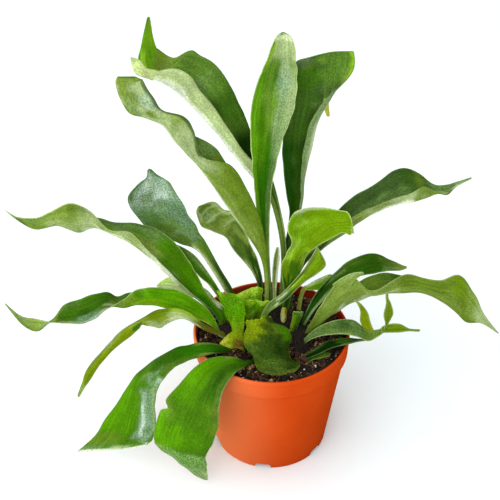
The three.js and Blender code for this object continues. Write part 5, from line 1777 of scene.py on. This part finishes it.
def stage():
    """A pale floor, soft studio light and the camera."""
    bpy.ops.mesh.primitive_plane_add(size=FLOOR_SIZE)
    floor = bpy.context.object
    floor.name = "floor"
    mat, _, _ = new_material("floor_white", base_color=FLOOR_TONE, roughness=0.9, specular_ior_level=0.1)
    floor.data.materials.append(mat)

    scene = bpy.context.scene
    scene.view_settings.view_transform = "Standard"
    scene.world = studio_world()
    for name, (place, aim, size, power) in LAMPS.items():
        data = bpy.data.lights.new(name, "AREA")
        data.shape, data.size, data.energy = "DISK", size, power
        lamp = bpy.data.objects.new(name, data)
        lamp.location = place
        lamp.rotation_mode = "QUATERNION"
        lamp.rotation_quaternion = (Vector(place) - Vector(aim)).to_track_quat("Z", "Y")
        scene.collection.objects.link(lamp)

    lens = bpy.data.cameras.new("camera")
    lens.lens, lens.sensor_width = CAMERA_LENS, SENSOR
    camera = bpy.data.objects.new("camera", lens)
    target = Vector(CAMERA_TARGET) * MM
    high = math.radians(CAMERA_ELEVATION)
    back = Vector((0, -math.cos(high), math.sin(high)))
    camera.location = target + back * CAMERA_DISTANCE * MM
    camera.rotation_mode = "QUATERNION"
    camera.rotation_quaternion = back.to_track_quat("Z", "Y")
    lens.clip_start, lens.clip_end = 0.05, 50
    scene.collection.objects.link(camera)
    scene.camera = camera


def build_foliage():
    leaf = leaf_material("frond_leaf", speckle=0.42, grain=0.15, roughness=0.42, streaks=0.24)
    papery = leaf_material("shield_leaf", speckle=0.6, grain=0.32, roughness=0.5, streaks=0.06)
    for seed, (name, frond) in enumerate(FRONDS.items()):
        mesh = blade_mesh(name + "_leaf", frond_blades(frond, 100 * seed, PAINT[name]))
        piece(name + "_leaf", mesh, leaf, "frond", name)
    for seed, (name, rows) in enumerate(SHIELDS.items()):
        mesh = blade_mesh(name + "_leaf", shield_blades(rows, 5000 + 100 * seed, PAINT[name]))
        piece(name + "_leaf", mesh, papery, "shield_frond", name)


def build_pot():
    mesh = cut_by(lathe("pot_body", pot_profile(), POT_SEGMENTS), notch_cutters())
    mesh.set_sharp_from_angle(angle=math.radians(POT_CREASE))
    piece("pot_body", mesh, plastic_material(), "pot_plastic", "pot")


def build_ground():
    earth = {name: earth_material(name, *tones) for name, tones in EARTHS.items()}
    piece("soil_surface", soil_mesh(), earth["soil_dark"], "soil", "soil")
    loose = [
        ("soil_crumbs", "soil_crumb", scattered_lumps(900, sizes=(0.8, 3.2), seed=11, lift=0.25)),
        ("soil_chips", "bark_chip", scattered_lumps(130, sizes=(0.8, 2.8), seed=12, lift=0.6)),
        ("soil_flecks", "soil_fleck", scattered_lumps(480, sizes=(0.5, 1.6), seed=16, lift=0.5)),
        ("soil_grit", "pale_grit", scattered_lumps(80, sizes=(0.5, 1.4), seed=13, lift=0.9)),
        ("soil_roots", "root_fibre", wandering_roots(150, seed=14)),
    ]
    for name, look, parts in loose:
        piece(name, joined(name, parts), earth[look], "soil")
    piece("rhizome_skin", rhizome_mesh(), earth["rhizome_wood_shaded"], "rhizome", "rhizome")
    hairs = joined("rhizome_hairs", rhizome_scales(420, seed=15))
    piece("rhizome_hairs", hairs, earth["rhizome_scale"], "rhizome")


stage()
build_pot()
build_ground()
build_foliage()
